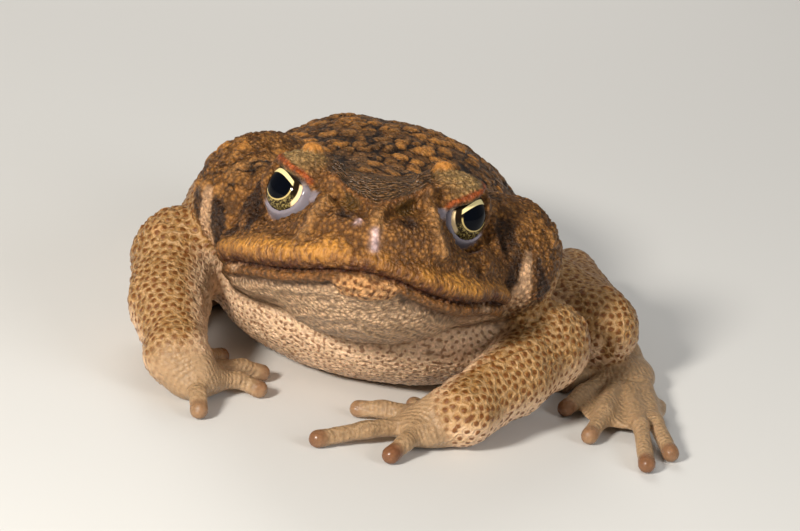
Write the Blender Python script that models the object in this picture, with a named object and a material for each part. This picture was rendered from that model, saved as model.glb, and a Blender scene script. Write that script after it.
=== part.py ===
"""A life-size cane toad, sitting raised on its front legs, as a set of closed solids.

Flesh is built from stretched balls and tapered rods that melt into one another, as muscle does
under skin. Each named part is its own closed mesh, carved clear of the part that it grows from.
Sizes are in millimetres here and become metres when a mesh is made. +X is the toad's left,
+Y its rear and +Z up, and the floor is at zero height.
"""

import math

import bmesh
import bpy
import numpy as np
from mathutils import Euler, Matrix, Vector
from mathutils.bvhtree import BVHTree

MM = 0.001
GAP = 0.38
FAR = 1.0e3
FLOOR = 0.0
LEFT, RIGHT = 1.0, -1.0
SIDES = {"left": LEFT, "right": RIGHT}

HEAD_WIDTH = 61.0
HEAD_LENGTH = 46.0
JAW_HEIGHT = 24.7
HEAD_TURN = math.radians(11.0)
HEAD_LIFT = math.radians(20.0)
HEAD_ROLL = math.radians(-1.8)
EYE_RADIUS = 7.0
EYE_PLACE = (16.2, -20.5, 15.9)
EYE_OUTWARD = math.radians(57.0)
EYE_UPWARD = math.radians(8.0)
LID_THICK = 1.3
LID_SLANT = math.radians(20.0)
EAR_RADIUS = 2.8
EAR_DEPTH = 2.2
EAR_PLACE = (29.5, -5.5, 8.0)
BODY_HALF_WIDTH = 34.0
BACK_HEIGHT = 42.8
SPINE_BEND = 0.22
GLAND_DEPTH = 6.0
NECK_PLACE = 9.0
BODY_TRIANGLES = 5000
NODE_SHARE = 0.6
HEAD_SHARE = 0.85
TORSO_SHARE = 0.42
WART_SEED = 11
WART_TRIES = 500
WART_COUNT = 60
WART_RADII = (1.5, 2.8)


class Ball:
    """A stretched ball of flesh: a centre, three radii and a turn in degrees."""

    def __init__(self, centre, radii, turn=(0.0, 0.0, 0.0)):
        self.centre = np.array(centre, float)
        self.radii = np.array(radii, float)
        self.axes = np.array(Euler([math.radians(a) for a in turn]).to_matrix())
        reach = np.abs(self.axes) @ self.radii
        self.low, self.high = self.centre - reach, self.centre + reach

    def distance(self, points):
        local = (points - self.centre) @ self.axes
        near = np.linalg.norm(local / self.radii, axis=1)
        steep = np.linalg.norm(local / self.radii**2, axis=1)
        return near * (near - 1.0) / np.maximum(steep, 1e-9)


class Rod:
    """A tapered rod of flesh along a chain of (x, y, z, radius) stations."""

    def __init__(self, *stations):
        self.stations = np.array(stations, float)
        places, radii = self.stations[:, :3], self.stations[:, 3:]
        self.low, self.high = (places - radii).min(axis=0), (places + radii).max(axis=0)

    def distance(self, points):
        found = np.full(len(points), FAR)
        for start, end in zip(self.stations[:-1], self.stations[1:]):
            along = end[:3] - start[:3]
            share = ((points - start[:3]) @ along) / (along @ along)
            share = np.clip(share, 0.0, 1.0)
            away = np.linalg.norm(points - start[:3] - share[:, None] * along, axis=1)
            found = np.minimum(found, away - start[3] - share * (end[3] - start[3]))
        return found


def melt(first, second, width):
    """The smooth union of two distances: they run together over this width."""
    share = np.clip(0.5 + 0.5 * (second - first) / width, 0.0, 1.0)
    return second + (first - second) * share - width * share * (1.0 - share)


def flesh(points, shapes, width, found=None):
    """The distance to shapes that melt together. Each is worked out only near its own box."""
    found = np.full(len(points), FAR) if found is None else found
    for shape in shapes:
        room = width + 6.0
        near = ((points > shape.low - room) & (points < shape.high + room)).all(axis=1)
        if near.any():
            found[near] = melt(found[near], shape.distance(points[near]), width)
    return found


def both(shapes):
    """Each shape and its mirror image across the body's middle."""
    made = []
    for shape in shapes:
        made.append(shape)
        if isinstance(shape, Ball):
            other = Ball(shape.centre * (-1, 1, 1), shape.radii)
            flip = np.diag((-1.0, 1.0, 1.0))
            other.axes = flip @ shape.axes @ flip
            reach = np.abs(other.axes) @ other.radii
            other.low, other.high = other.centre - reach, other.centre + reach
        else:
            other = Rod(*(shape.stations * (-1, 1, 1, 1)))
        made.append(other)
    return made


HEAD_AXES = np.array(
    Matrix.Rotation(HEAD_TURN, 3, "Z")
    @ Matrix.Rotation(-HEAD_LIFT, 3, "X")
    @ Matrix.Rotation(HEAD_ROLL, 3, "Y")
)
HEAD_SEAT = np.array((0.0, 0.0, JAW_HEIGHT))


def to_head(points):
    return (points - HEAD_SEAT) @ HEAD_AXES


def from_head(points):
    return np.array(points, float) @ HEAD_AXES.T + HEAD_SEAT


# The mouth's height in the head's frame at places from the toad's right to its left
MOUTH_LINE = np.polynomial.Polynomial.fit(
    (-31, -24, -18, -13, -6, -1, 4, 10, 15, 21, 31),
    (0.3, -0.4, -0.7, -0.6, 0.0, 0.4, -0.3, -1.8, -2.6, -2.8, -1.8),
    7,
)


def mouth_height(across):
    """The height of the mouth line in the head's frame, this far from the middle."""
    return MOUTH_LINE(np.clip(across, -31.0, 31.0))


def lip_line(share_wide, share_long, above, radius, count=17):
    """Stations round the muzzle along the mouth, from one corner to the other."""
    turns = np.linspace(-0.5 * math.pi, 0.5 * math.pi, count)
    wide, long = 0.5 * HEAD_WIDTH * share_wide, HEAD_LENGTH * share_long
    across = wide * np.sin(turns)
    back = -long * np.cos(turns)
    return list(zip(across, back, mouth_height(across) + above, [radius] * count))


EYE_LOOK = np.array((
    math.sin(EYE_OUTWARD) * math.cos(EYE_UPWARD),
    -math.cos(EYE_OUTWARD) * math.cos(EYE_UPWARD),
    math.sin(EYE_UPWARD),
))
SKULL = [
    Ball((0, 0, 5.2), (30.4, 45.6, 11.5)),
    Ball((0, -36.0, 7.6), (15.0, 10.6, 7.4)),
    Ball((0, -10, 14.4), (19, 28, 8.0)),
    Rod(*lip_line(0.965, 0.975, 2.5, 2.5)),
] + both([
    Ball((15.4, -19.5, 17.6), (9.0, 10.4, 7.2)),
    Ball((13.5, -4, 17.0), (11.0, 14, 8.2)),
    Ball((23.5, 2, 11.0), (8.8, 15, 11)),
])
CRESTS = both([
    Rod((1.0, -42.4, 12.6, 1.3), (5.0, -37.5, 15.6, 1.4), (10.0, -30.4, 18.6, 1.4)),
    Rod((10.0, -30.4, 18.6, 1.4), (9.4, -22, 22.4, 1.5), (11.4, -11.5, 23.4, 1.6)),
    Rod((11.4, -11.5, 23.4, 1.6), (19, -9.5, 21.4, 1.7), (25.5, -9.5, 16.4, 1.6), (28.2, -11, 9, 1.4)),
    Rod((10.0, -30.6, 18.0, 1.3), (12.0, -38.0, 11.8, 1.3), (14.2, -39.4, 6.4, 1.2)),
])
NOSE = [
    Rod((0, -44.0, 11.4, 1.2), (0, -45.6, 6.4, 1.1)),
]
LIDS = both([
    Ball(EYE_PLACE, (EYE_RADIUS + LID_THICK,) * 3),
])
NOSTRILS = both([Ball((6.1, -44.9, 10.8), (1.5, 1.6, 1.1), (0, 0, 24))])
JAW = [
    Ball((0, 2, -3.4), (28.6, 44.4, 5.2)),
    Ball((1, -14, -5.4), (18, 25, 7.6)),
    Ball((0.4, -41.4, -3.4), (5.8, 4.6, 2.7)),
    Rod(*lip_line(0.955, 0.965, -1.9, 1.35)),
]


def bent(along):
    """How far the spine has swung to the toad's right at this distance behind the head."""
    return -SPINE_BEND * (along - 6.0)


TORSO = [
    Ball((bent(52), 52, 24), (BODY_HALF_WIDTH, 53, BACK_HEIGHT - 24)),
    Ball((bent(36), 36, 31), (25, 42, 12.0)),
    Ball((0, 17, 14), (36, 26, 14)),
    Ball((bent(44) + 3, 46, 12), (35, 44, 12.6)),
    Ball((bent(84), 84, 19), (22, 21, 14)),
    Ball((0, 8, 31.5), (25, 22, 11.7)),
    Ball((22, 26, 25), (12, 20, 11)),
    Ball((-25, 24, 28), (13, 19, 12)),
]
GLANDS = [
    Ball((28.0, 13.5, 33.6), (12.0, 18.0, 12.2), (8, 0, 12)),
    Ball((-29.2, 13.5, 35.2), (12.6, 19.0, 13.0), (8, 0, -12)),
]

LIMBS = {
    "left": {
        "upper_arm": [Rod((20, 24, 20, 10), (40, 13, 16, 9.0))],
        "forearm": [Rod((39.5, 13, 15, 9.0), (36, -3, 12, 8.4), (29, -19, 8.0, 6.2))],
        "palm": [
            Rod((29, -19, 7.6, 6.0), (24, -20.5, 5.2, 5.6)),
            Ball((21.5, -21.5, 3.8), (6.0, 7.8, 4.0), (0, 0, 12)),
        ],
        "fingers": [
            ((22, -15, 3.4), (19.5, -10, 3.2), (16.5, -5.5, 1.75)),
            ((17.5, -16, 3.4), (11.5, -15.8, 3.2), (6.2, -15.3, 1.75)),
            ((17.5, -23.5, 3.4), (10.9, -30, 3.2), (2.6, -37.6, 1.75)),
            ((20.8, -27.4, 3.6), (19.8, -32.6, 3.3), (18.1, -37, 1.75)),
        ],
        "thigh": [Rod((6, 84, 18.5, 14.5), (26.5, 62, 13.2, 11.4), (45, 43, 12.3, 10.1))],
        "shank": [Rod((49.0, 41, 13, 8.8), (42.5, 62, 11.0, 8.0), (35.5, 88.5, 9.8, 6.2))],
        "sole": [
            Rod((38, 91, 7.0, 5.6), (47, 70, 5.0, 5.0), (54, 50, 4.4, 5.2)),
            Ball((56, 42, 3.6), (7.5, 11, 4.0), (0, 0, 14)),
            Ball((55.5, 20, 2.2), (6.4, 11.5, 1.5), (0, 0, 6)),
            Ball((63.5, 21, 2.4), (4.4, 11.5, 1.5), (0, 0, -12)),
        ],
        "toes": [
            ((51, 38, 3.2), (47.5, 34, 3.4), (44.5, 30, 1.75)),
            ((52.5, 33, 3.2), (49.5, 22, 3.6), (47.1, 14.5, 1.75)),
            ((55.5, 30, 3.4), (56, 12, 3.8), (54.5, 0.8, 1.75)),
            ((59.5, 30, 3.6), (64.5, 8, 4.0), (68.3, -8.2, 1.75)),
            ((62, 34, 3.6), (67, 14, 3.6), (72.3, 1.6, 1.75)),
        ],
    },
    "right": {
        "upper_arm": [Rod((-20, 24, 24, 11), (-43, 7, 19.5, 9.4))],
        "forearm": [Rod((-43, 7, 18.5, 9.4), (-40, -9, 13.5, 8.8), (-33, -24, 8.4, 6.2))],
        "palm": [
            Rod((-32.5, -26, 8, 6.0), (-29, -26.5, 5.4, 5.6)),
            Ball((-27.5, -24.5, 3.8), (5.6, 7.4, 4.0), (0, 0, -6)),
        ],
        "fingers": [
            ((-30, -17, 3.8), (-30, -9.5, 3.4), (-28, -3, 1.75)),
            ((-26, -17, 3.6), (-21.3, -10.5, 3.2), (-17.5, -7.5, 1.75)),
            ((-24, -23, 3.4), (-20, -18.5, 3.2), (-15.4, -17.5, 1.75)),
            ((-26.3, -29.5, 3.8), (-24.6, -34, 3.4), (-23.2, -37.2, 1.75)),
        ],
        "thigh": [Rod((-24, 88, 21, 16), (-38, 70, 16.5, 13.6), (-43, 52, 14.0, 11.2))],
        "shank": [Rod((-46, 50, 14, 9.0), (-50, 72, 13.5, 8.6), (-46, 97, 11.0, 6.2))],
        "sole": [
            Rod((-47, 98, 7.0, 5.6), (-49, 78, 5.0, 5.0), (-46, 58, 4.4, 5.2)),
            Ball((-45.5, 50, 3.6), (7.5, 11, 4.0), (0, 0, 4)),
            Ball((-42.5, 34, 2.2), (5.6, 9.0, 1.5), (0, 0, -8)),
            Ball((-48.5, 33, 2.4), (4.6, 9.0, 1.5), (0, 0, 6)),
        ],
        "toes": [
            ((-42, 49, 3.2), (-38, 46, 3.4), (-34, 43, 1.75)),
            ((-42, 44, 3.2), (-38, 38, 3.6), (-35, 33, 1.75)),
            ((-44, 40, 3.4), (-41.5, 30, 3.8), (-39.5, 21, 1.75)),
            ((-47, 40, 3.6), (-47, 26, 4.0), (-47, 14, 1.75)),
            ((-49, 45, 3.4), (-51.5, 34, 3.6), (-52, 25, 1.75)),
        ],
    },
}
DIGIT_ROOT, DIGIT_WAIST, DIGIT_TIP = 2.2, 1.65, 1.85


def digit(root, knuckle, tip):
    return Rod((*root, DIGIT_ROOT), (*knuckle, DIGIT_WAIST), (*tip, DIGIT_TIP))


for limb in LIMBS.values():
    limb["fingers"] = [digit(*places) for places in limb["fingers"]]
    limb["toes"] = [digit(*places) for places in limb["toes"]]


def lid_opening(sign):
    """The slanted almond through which one eye looks out."""
    look = EYE_LOOK * (sign, 1, 1)
    across = np.cross(look, (0, 0, 1.0)) * sign
    across /= np.linalg.norm(across)
    upward = np.cross(across, look) * sign
    along = math.cos(LID_SLANT) * across + math.sin(LID_SLANT) * upward
    above = math.cos(LID_SLANT) * upward - math.sin(LID_SLANT) * across
    middle = np.array(EYE_PLACE) * (sign, 1, 1) + look * (EYE_RADIUS + 0.6) + 0.2 * along
    opening = Ball(middle, (6.5, 3.6, 5.0))
    opening.axes = np.stack([along, look, above], axis=1)
    opening.low, opening.high = middle - 8, middle + 8
    return opening


def hollow(found, points, shape, width):
    """Take a shape out of the flesh with a softened edge."""
    near = ((points > shape.low - 2) & (points < shape.high + 2)).all(axis=1)
    if near.any():
        found[near] = -melt(-found[near], shape.distance(points[near]), width)
    return found


def head_flesh(points):
    """Distance to the skull and the jaw, with the brows, the nostrils and the lids' openings."""
    local = to_head(points)
    skull = flesh(local, SKULL, 4.0)
    skull = flesh(local, LIDS, 2.0, skull)
    skull = flesh(local, CRESTS, 1.8, skull)
    skull = flesh(local, NOSE, 1.8, skull)
    for nostril in NOSTRILS:
        skull = hollow(skull, local, nostril, 0.6)
    for sign in (LEFT, RIGHT):
        skull = hollow(skull, local, lid_opening(sign), 0.7)
    jaw = flesh(local, JAW, 2.4)
    return np.minimum(skull, jaw)


def limb_flesh(points, limb, names, width, found=None):
    shapes = [shape for name in names for shape in limb[name]]
    return flesh(points, shapes, width, found)


def whole(points):
    """Distance to the skin of the whole toad, cut level with the floor."""
    found = flesh(points, TORSO, 9.0)
    found = flesh(points, GLANDS, 4.0, found)
    found = melt(found, head_flesh(points), 5.0)
    for limb in LIMBS.values():
        hand = limb_flesh(points, limb, ["palm", "fingers"], 2.5)
        arm = melt(limb_flesh(points, limb, ["upper_arm", "forearm"], 5.0), hand, 4.0)
        found = melt(found, arm, 5.0)
        leg = limb_flesh(points, limb, ["thigh"], 5.0)
        leg = melt(leg, limb_flesh(points, limb, ["shank"], 4.0), 2.5)
        found = melt(found, leg, 5.0)
        found = melt(found, limb_flesh(points, limb, ["sole", "toes"], 2.5), 1.6)
    return np.maximum(found, FLOOR - points[:, 2])


PAINTS = {"skin": ((0.30, 0.17, 0.065), 0.55), "eye": ((0.03, 0.018, 0.01), 0.08)}


def material(name, color, roughness):
    made = bpy.data.materials.new(name)
    made.use_nodes = True
    shader = made.node_tree.nodes["Principled BSDF"]
    shader.inputs["Base Color"].default_value = (*color, 1.0)
    shader.inputs["Roughness"].default_value = roughness
    shader.inputs["Metallic"].default_value = 0.0
    return made


CORNERS = [(i, j, k) for i in (0, 1) for j in (0, 1) for k in (0, 1)]
EDGES = [
    (start, end) for start in range(8) for end in range(start + 1, 8)
    if sum(abs(a - b) for a, b in zip(CORNERS[start], CORNERS[end])) == 1
]


def contour(field, low, high, cell):
    """Points and faces of the field's zero level, one point in each grid cell it crosses."""
    axes = [np.arange(a, b + cell, cell) for a, b in zip(low, high)]
    grid = np.stack(np.meshgrid(*axes, indexing="ij"), axis=-1)
    size = grid.shape[:3]
    value = field(grid.reshape(-1, 3)).reshape(size)
    value = np.where(np.abs(value) < 1e-6, 1e-6, value)
    inner = tuple(n - 1 for n in size)
    corner = [
        value[i:i + inner[0], j:j + inner[1], k:k + inner[2]] for i, j, k in CORNERS
    ]
    total = np.zeros(inner + (3,))
    count = np.zeros(inner)
    for start, end in EDGES:
        first, second = corner[start], corner[end]
        crossed = (first < 0) != (second < 0)
        share = np.where(crossed, first / np.where(crossed, first - second, 1.0), 0.0)
        begin = np.array(CORNERS[start], float)
        step = np.array(CORNERS[end], float) - begin
        total += np.where(crossed[..., None], begin + share[..., None] * step, 0.0)
        count += crossed
    used = count > 0
    number = np.full(inner, -1)
    number[used] = np.arange(used.sum())
    places = np.argwhere(used) + total[used] / count[used][:, None]
    points = np.array([a[0] for a in axes]) + places * cell
    faces = []
    for axis in range(3):
        one, two = (axis + 1) % 3, (axis + 2) % 3
        ahead = np.moveaxis(value, (axis, one, two), (0, 1, 2))
        cells = np.moveaxis(number, (axis, one, two), (0, 1, 2))
        first, second = ahead[:-1, 1:-1, 1:-1] < 0, ahead[1:, 1:-1, 1:-1] < 0
        for change, order in ((first & ~second, 1), (second & ~first, -1)):
            a, b, c = np.nonzero(change)
            ring = [cells[a, b, c], cells[a, b + 1, c], cells[a, b + 1, c + 1], cells[a, b, c + 1]]
            faces.append(np.stack(ring[::order], axis=1))
    return points, np.concatenate(faces)


def slope(points, field, step=0.05):
    """The field's outward slope at each point."""
    rises = [field(points + step * side) - field(points - step * side) for side in np.eye(3)]
    return np.stack(rises, axis=1) / (2.0 * step)


def settle(points, field, rounds=3):
    """Move points onto the field's zero level along its slope."""
    for _ in range(rounds):
        rise = slope(points, field)
        steep = np.maximum((rise**2).sum(axis=1), 0.2)
        move = np.clip(field(points), -3.0, 3.0) / steep
        points = points - move[:, None] * rise
    return points


def mesh_object(name, points, faces):
    mesh = bpy.data.meshes.new(name)
    points = [Vector(p) * MM for p in points]
    mesh.from_pydata(points, [], [tuple(int(i) for i in face) for face in faces])
    thing = bpy.data.objects.new(name, mesh)
    bpy.context.scene.collection.objects.link(thing)
    return thing


def apply_modifiers(thing):
    settled = thing.evaluated_get(bpy.context.evaluated_depsgraph_get())
    mesh = bpy.data.meshes.new_from_object(settled)
    thing.modifiers.clear()
    old = thing.data
    thing.data = mesh
    bpy.data.meshes.remove(old)


def thin_out(thing, triangles):
    """Collapse the mesh to about this many triangles."""
    now = sum(len(face.vertices) - 2 for face in thing.data.polygons)
    if now > triangles:
        modifier = thing.modifiers.new("thin", "DECIMATE")
        modifier.ratio = triangles / now
        apply_modifiers(thing)


def shaped(name, field, low, high, cell, triangles):
    """A closed mesh of the field's zero level, with about this many triangles."""
    points, faces = contour(field, low, high, cell)
    thing = mesh_object(name, settle(points, field), faces)
    remesh = thing.modifiers.new("close", "REMESH")
    remesh.mode, remesh.voxel_size = "VOXEL", 0.9 * cell * MM
    apply_modifiers(thing)
    points = np.array([point.co for point in thing.data.vertices]) / MM
    for point, place in zip(thing.data.vertices, settle(points, field)):
        point.co = Vector(place) * MM
    thin_out(thing, triangles)
    return thing


def boolean(thing, cutter, operation):
    modifier = thing.modifiers.new("cut", "BOOLEAN")
    modifier.operation, modifier.solver, modifier.object = operation, "EXACT", cutter
    apply_modifiers(thing)


def copy_of(thing, name):
    twin = bpy.data.objects.new(name, thing.data.copy())
    bpy.context.scene.collection.objects.link(twin)
    return twin


def grow(thing, amount):
    """Push every point out along its normal by this many millimetres."""
    work = bmesh.new()
    work.from_mesh(thing.data)
    bmesh.ops.recalc_face_normals(work, faces=work.faces)
    work.normal_update()
    moves = [(point, point.normal * point.calc_shell_factor()) for point in work.verts]
    for point, away in moves:
        point.co += away * amount * MM
    work.to_mesh(thing.data)
    work.free()


def discard(thing):
    mesh = thing.data
    bpy.data.objects.remove(thing)
    bpy.data.meshes.remove(mesh)


def connected(work):
    """The mesh's separate surfaces as lists of faces, largest first."""
    left, bodies = set(work.faces), []
    while left:
        stack, body = [left.pop()], []
        while stack:
            face = stack.pop()
            body.append(face)
            for edge in face.edges:
                for other in edge.link_faces:
                    if other in left:
                        left.remove(other)
                        stack.append(other)
        bodies.append(body)
    return sorted(bodies, key=len, reverse=True)


def tidied(mesh, distance):
    """The largest surface of a mesh as triangles, with edges under this distance closed up."""
    work = bmesh.new()
    work.from_mesh(mesh)
    if distance:
        bmesh.ops.dissolve_degenerate(work, edges=work.edges, dist=distance * MM)
    bmesh.ops.triangulate(work, faces=work.faces)
    for body in connected(work)[1:]:
        bmesh.ops.delete(work, geom=body, context="FACES")
    loose = [point for point in work.verts if not point.link_faces]
    bmesh.ops.delete(work, geom=loose, context="VERTS")
    bmesh.ops.recalc_face_normals(work, faces=work.faces)
    if work.calc_volume(signed=True) < 0:
        bmesh.ops.reverse_faces(work, faces=work.faces)
    return work


def largest_body(thing):
    """Tidy the mesh as far as it stays closed."""
    for distance in (0.02, 0.01, 0.004, 0.0):
        work = tidied(thing.data, distance)
        if distance == 0.0 or all(len(edge.link_faces) == 2 for edge in work.edges):
            work.to_mesh(thing.data)
            work.free()
            return
        work.free()


def is_closed(mesh):
    work = bmesh.new()
    work.from_mesh(mesh)
    closed = all(len(edge.link_faces) == 2 for edge in work.edges)
    work.free()
    return closed


def thin_closed(thing, share):
    """Thin a node's mesh to this share of its triangles, or less thinly where that opens it."""
    full = thing.data.copy()
    for more in (0.0, 0.04, 0.08, 0.15, 0.25):
        thing.data = full.copy()
        thin_out(thing, int((share + more) * len(full.polygons)))
        largest_body(thing)
        if is_closed(thing.data):
            break
    bpy.data.meshes.remove(full)


def part_off(rest, name, cutter):
    """Cut what the cutter holds away from the rest, with a thin gap between the two."""
    piece = copy_of(rest, name)
    boolean(piece, cutter, "INTERSECT")
    grow(cutter, GAP)
    boolean(rest, cutter, "DIFFERENCE")
    discard(cutter)
    largest_body(piece)
    largest_body(rest)
    return piece


def reach(shapes, room):
    low = np.min([shape.low for shape in shapes], axis=0) - room
    high = np.max([shape.high for shape in shapes], axis=0) + room
    return low, high


def cutter_round(shapes, width, spare, beyond=None, cell=1.8, triangles=260):
    """A cutter that holds these shapes with some to spare, and nothing short of a plane."""
    def field(points):
        found = flesh(points, shapes, width) - spare
        if beyond is not None:
            place, along = beyond
            found = np.maximum(found, (np.array(place) - points) @ np.array(along))
        return found
    low, high = reach(shapes, spare + 4.0)
    return shaped("cutter", field, low, high, cell, triangles)


def joint_plane(first, second, share=1.0):
    """A plane across a chain of two rods at their meeting, or part of the way along the first."""
    start, middle = first.stations[0, :3], first.stations[1, :3]
    along = (middle - start) / np.linalg.norm(middle - start)
    if share < 1.0:
        return start + share * (middle - start), along
    onward = second.stations[1, :3] - second.stations[0, :3]
    onward /= np.linalg.norm(onward)
    normal = along + onward
    return second.stations[0, :3], normal / np.linalg.norm(normal)


def below_mouth():
    """Everything below the mouth line, as a block whose top follows the line."""
    across = np.linspace(-44.0, 44.0, 19)
    points, number = [], {}
    for i, x in enumerate(across):
        for j, y in enumerate((-66.0, NECK_PLACE + 8.0)):
            for k, z in enumerate((-40.0, float(mouth_height(x)))):
                number[i, j, k] = len(points)
                points.append((x, y, z))
    last = len(across) - 1
    faces = []
    for i in range(last):
        for a, b in (((0, 0), (0, 1)), ((0, 1), (1, 1)), ((1, 1), (1, 0)), ((1, 0), (0, 0))):
            faces.append((number[(i, *a)], number[(i, *b)], number[(i + 1, *b)], number[(i + 1, *a)]))
    for i in (0, last):
        faces.append([number[i, 0, 0], number[i, 1, 0], number[i, 1, 1], number[i, 0, 1]])
    thing = mesh_object("cutter", from_head(points), faces)
    face_outward(thing)
    return thing


def face_outward(thing):
    work = bmesh.new()
    work.from_mesh(thing.data)
    bmesh.ops.recalc_face_normals(work, faces=work.faces)
    work.to_mesh(thing.data)
    work.free()


def turned_to(direction, place):
    """A matrix that stands local Z along a direction, at a place in millimetres."""
    turn = Vector(direction).to_track_quat("Z", "Y").to_matrix().to_4x4()
    return Matrix.Translation(Vector(place) * MM) @ turn


def solid(name, work):
    mesh = bpy.data.meshes.new(name)
    bmesh.ops.triangulate(work, faces=work.faces)
    work.to_mesh(mesh)
    work.free()
    thing = bpy.data.objects.new(name, mesh)
    bpy.context.scene.collection.objects.link(thing)
    return thing


def eye_ball(name, sign):
    place = from_head([np.array(EYE_PLACE) * (sign, 1, 1)])[0]
    look = HEAD_AXES @ (EYE_LOOK * (sign, 1, 1))
    work = bmesh.new()
    bmesh.ops.create_uvsphere(
        work, u_segments=20, v_segments=12, radius=EYE_RADIUS * MM, matrix=turned_to(look, place)
    )
    return solid(name, work)


def ear_disc(sign):
    place = settle(from_head([np.array(EAR_PLACE) * (sign, 1, 1)]), whole, 5)
    out = slope(place, whole)[0]
    work = bmesh.new()
    bmesh.ops.create_cone(
        work, cap_ends=True, segments=16, radius1=EAR_RADIUS * MM, radius2=EAR_RADIUS * MM,
        depth=2.0 * EAR_DEPTH * MM, matrix=turned_to(out, place[0]),
    )
    return solid("cutter", work)


def wart_sites():
    """Seeded places on the back, the glands and the thighs, well apart, each with a radius."""
    chance = np.random.default_rng(WART_SEED)
    tries = chance.uniform((-60, -4, 20), (62, 104, 52), (WART_TRIES * 12, 3))
    places = settle(tries, whole, 6)
    outward = slope(places, whole)
    radii = chance.uniform(*WART_RADII, len(places)) * chance.uniform(0.75, 1.0, len(places))
    good = (np.abs(whole(places)) < 0.02) & (outward[:, 2] > 0.25) & (places[:, 2] > 22)
    good &= to_head(places)[:, 1] > -2
    sites = []
    for place, out, radius in zip(places[good], outward[good], radii[good]):
        clear = all(np.linalg.norm(place - s[0]) > 1.5 * (radius + s[2]) for s in sites)
        if clear and len(sites) < WART_COUNT:
            sites.append((place, out, radius))
    return sites


def wart(work, place, out, radius):
    """A low dome whose foot is sunk in the skin."""
    frame = turned_to(out, place)
    rings = ((1.0, -0.45), (0.93, 0.16), (0.55, 0.42))
    loops = []
    for share, height in rings:
        loop = []
        for step in range(7):
            turn = 2.0 * math.pi * step / 7
            spot = Vector((share * math.cos(turn), share * math.sin(turn), height)) * radius * MM
            loop.append(work.verts.new(frame @ spot))
        loops.append(loop)
    top = work.verts.new(frame @ (Vector((0, 0, 0.52)) * radius * MM))
    for lower, upper in zip(loops, loops[1:]):
        for step in range(7):
            after = (step + 1) % 7
            work.faces.new((lower[step], lower[after], upper[after], upper[step]))
    for step in range(7):
        work.faces.new((loops[-1][step], loops[-1][(step + 1) % 7], top))
    work.faces.new(loops[0][::-1])


def add_warts(nodes):
    """Join each wart to the one node that holds its whole foot."""
    bare = {name: node for name, node in nodes.items() if not name.startswith(("eye", "ear"))}
    trees = {}
    for name, node in bare.items():
        work = bmesh.new()
        work.from_mesh(node.data)
        trees[name] = BVHTree.FromBMesh(work)
        work.free()
    domes = {name: bmesh.new() for name in bare}
    counts = dict.fromkeys(bare, 0)
    for place, out, radius in wart_sites():
        away = sorted((tree.find_nearest(Vector(place) * MM)[3] / MM, name)
                      for name, tree in trees.items())
        if away[0][0] < 0.5 and away[1][0] > radius + 0.5:
            wart(domes[away[0][1]], place, out, radius)
            counts[away[0][1]] += 1
    for name, work in domes.items():
        if counts[name]:
            cluster = solid("warts", work)
            boolean(bare[name], cluster, "UNION")
            discard(cluster)
            largest_body(bare[name])
        else:
            work.free()


def settle_on_origin(nodes):
    """Move every node so that the middle of the toad's foot print is the origin."""
    points = [point.co for node in nodes.values() for point in node.data.vertices]
    low = [min(point[axis] for point in points) for axis in range(3)]
    high = [max(point[axis] for point in points) for axis in range(3)]
    shift = Vector((-(low[0] + high[0]) / 2, -(low[1] + high[1]) / 2, -low[2]))
    for node in nodes.values():
        node.location = shift
        node.data.shade_smooth()
        node.data.set_sharp_from_angle(angle=math.radians(50))


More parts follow.
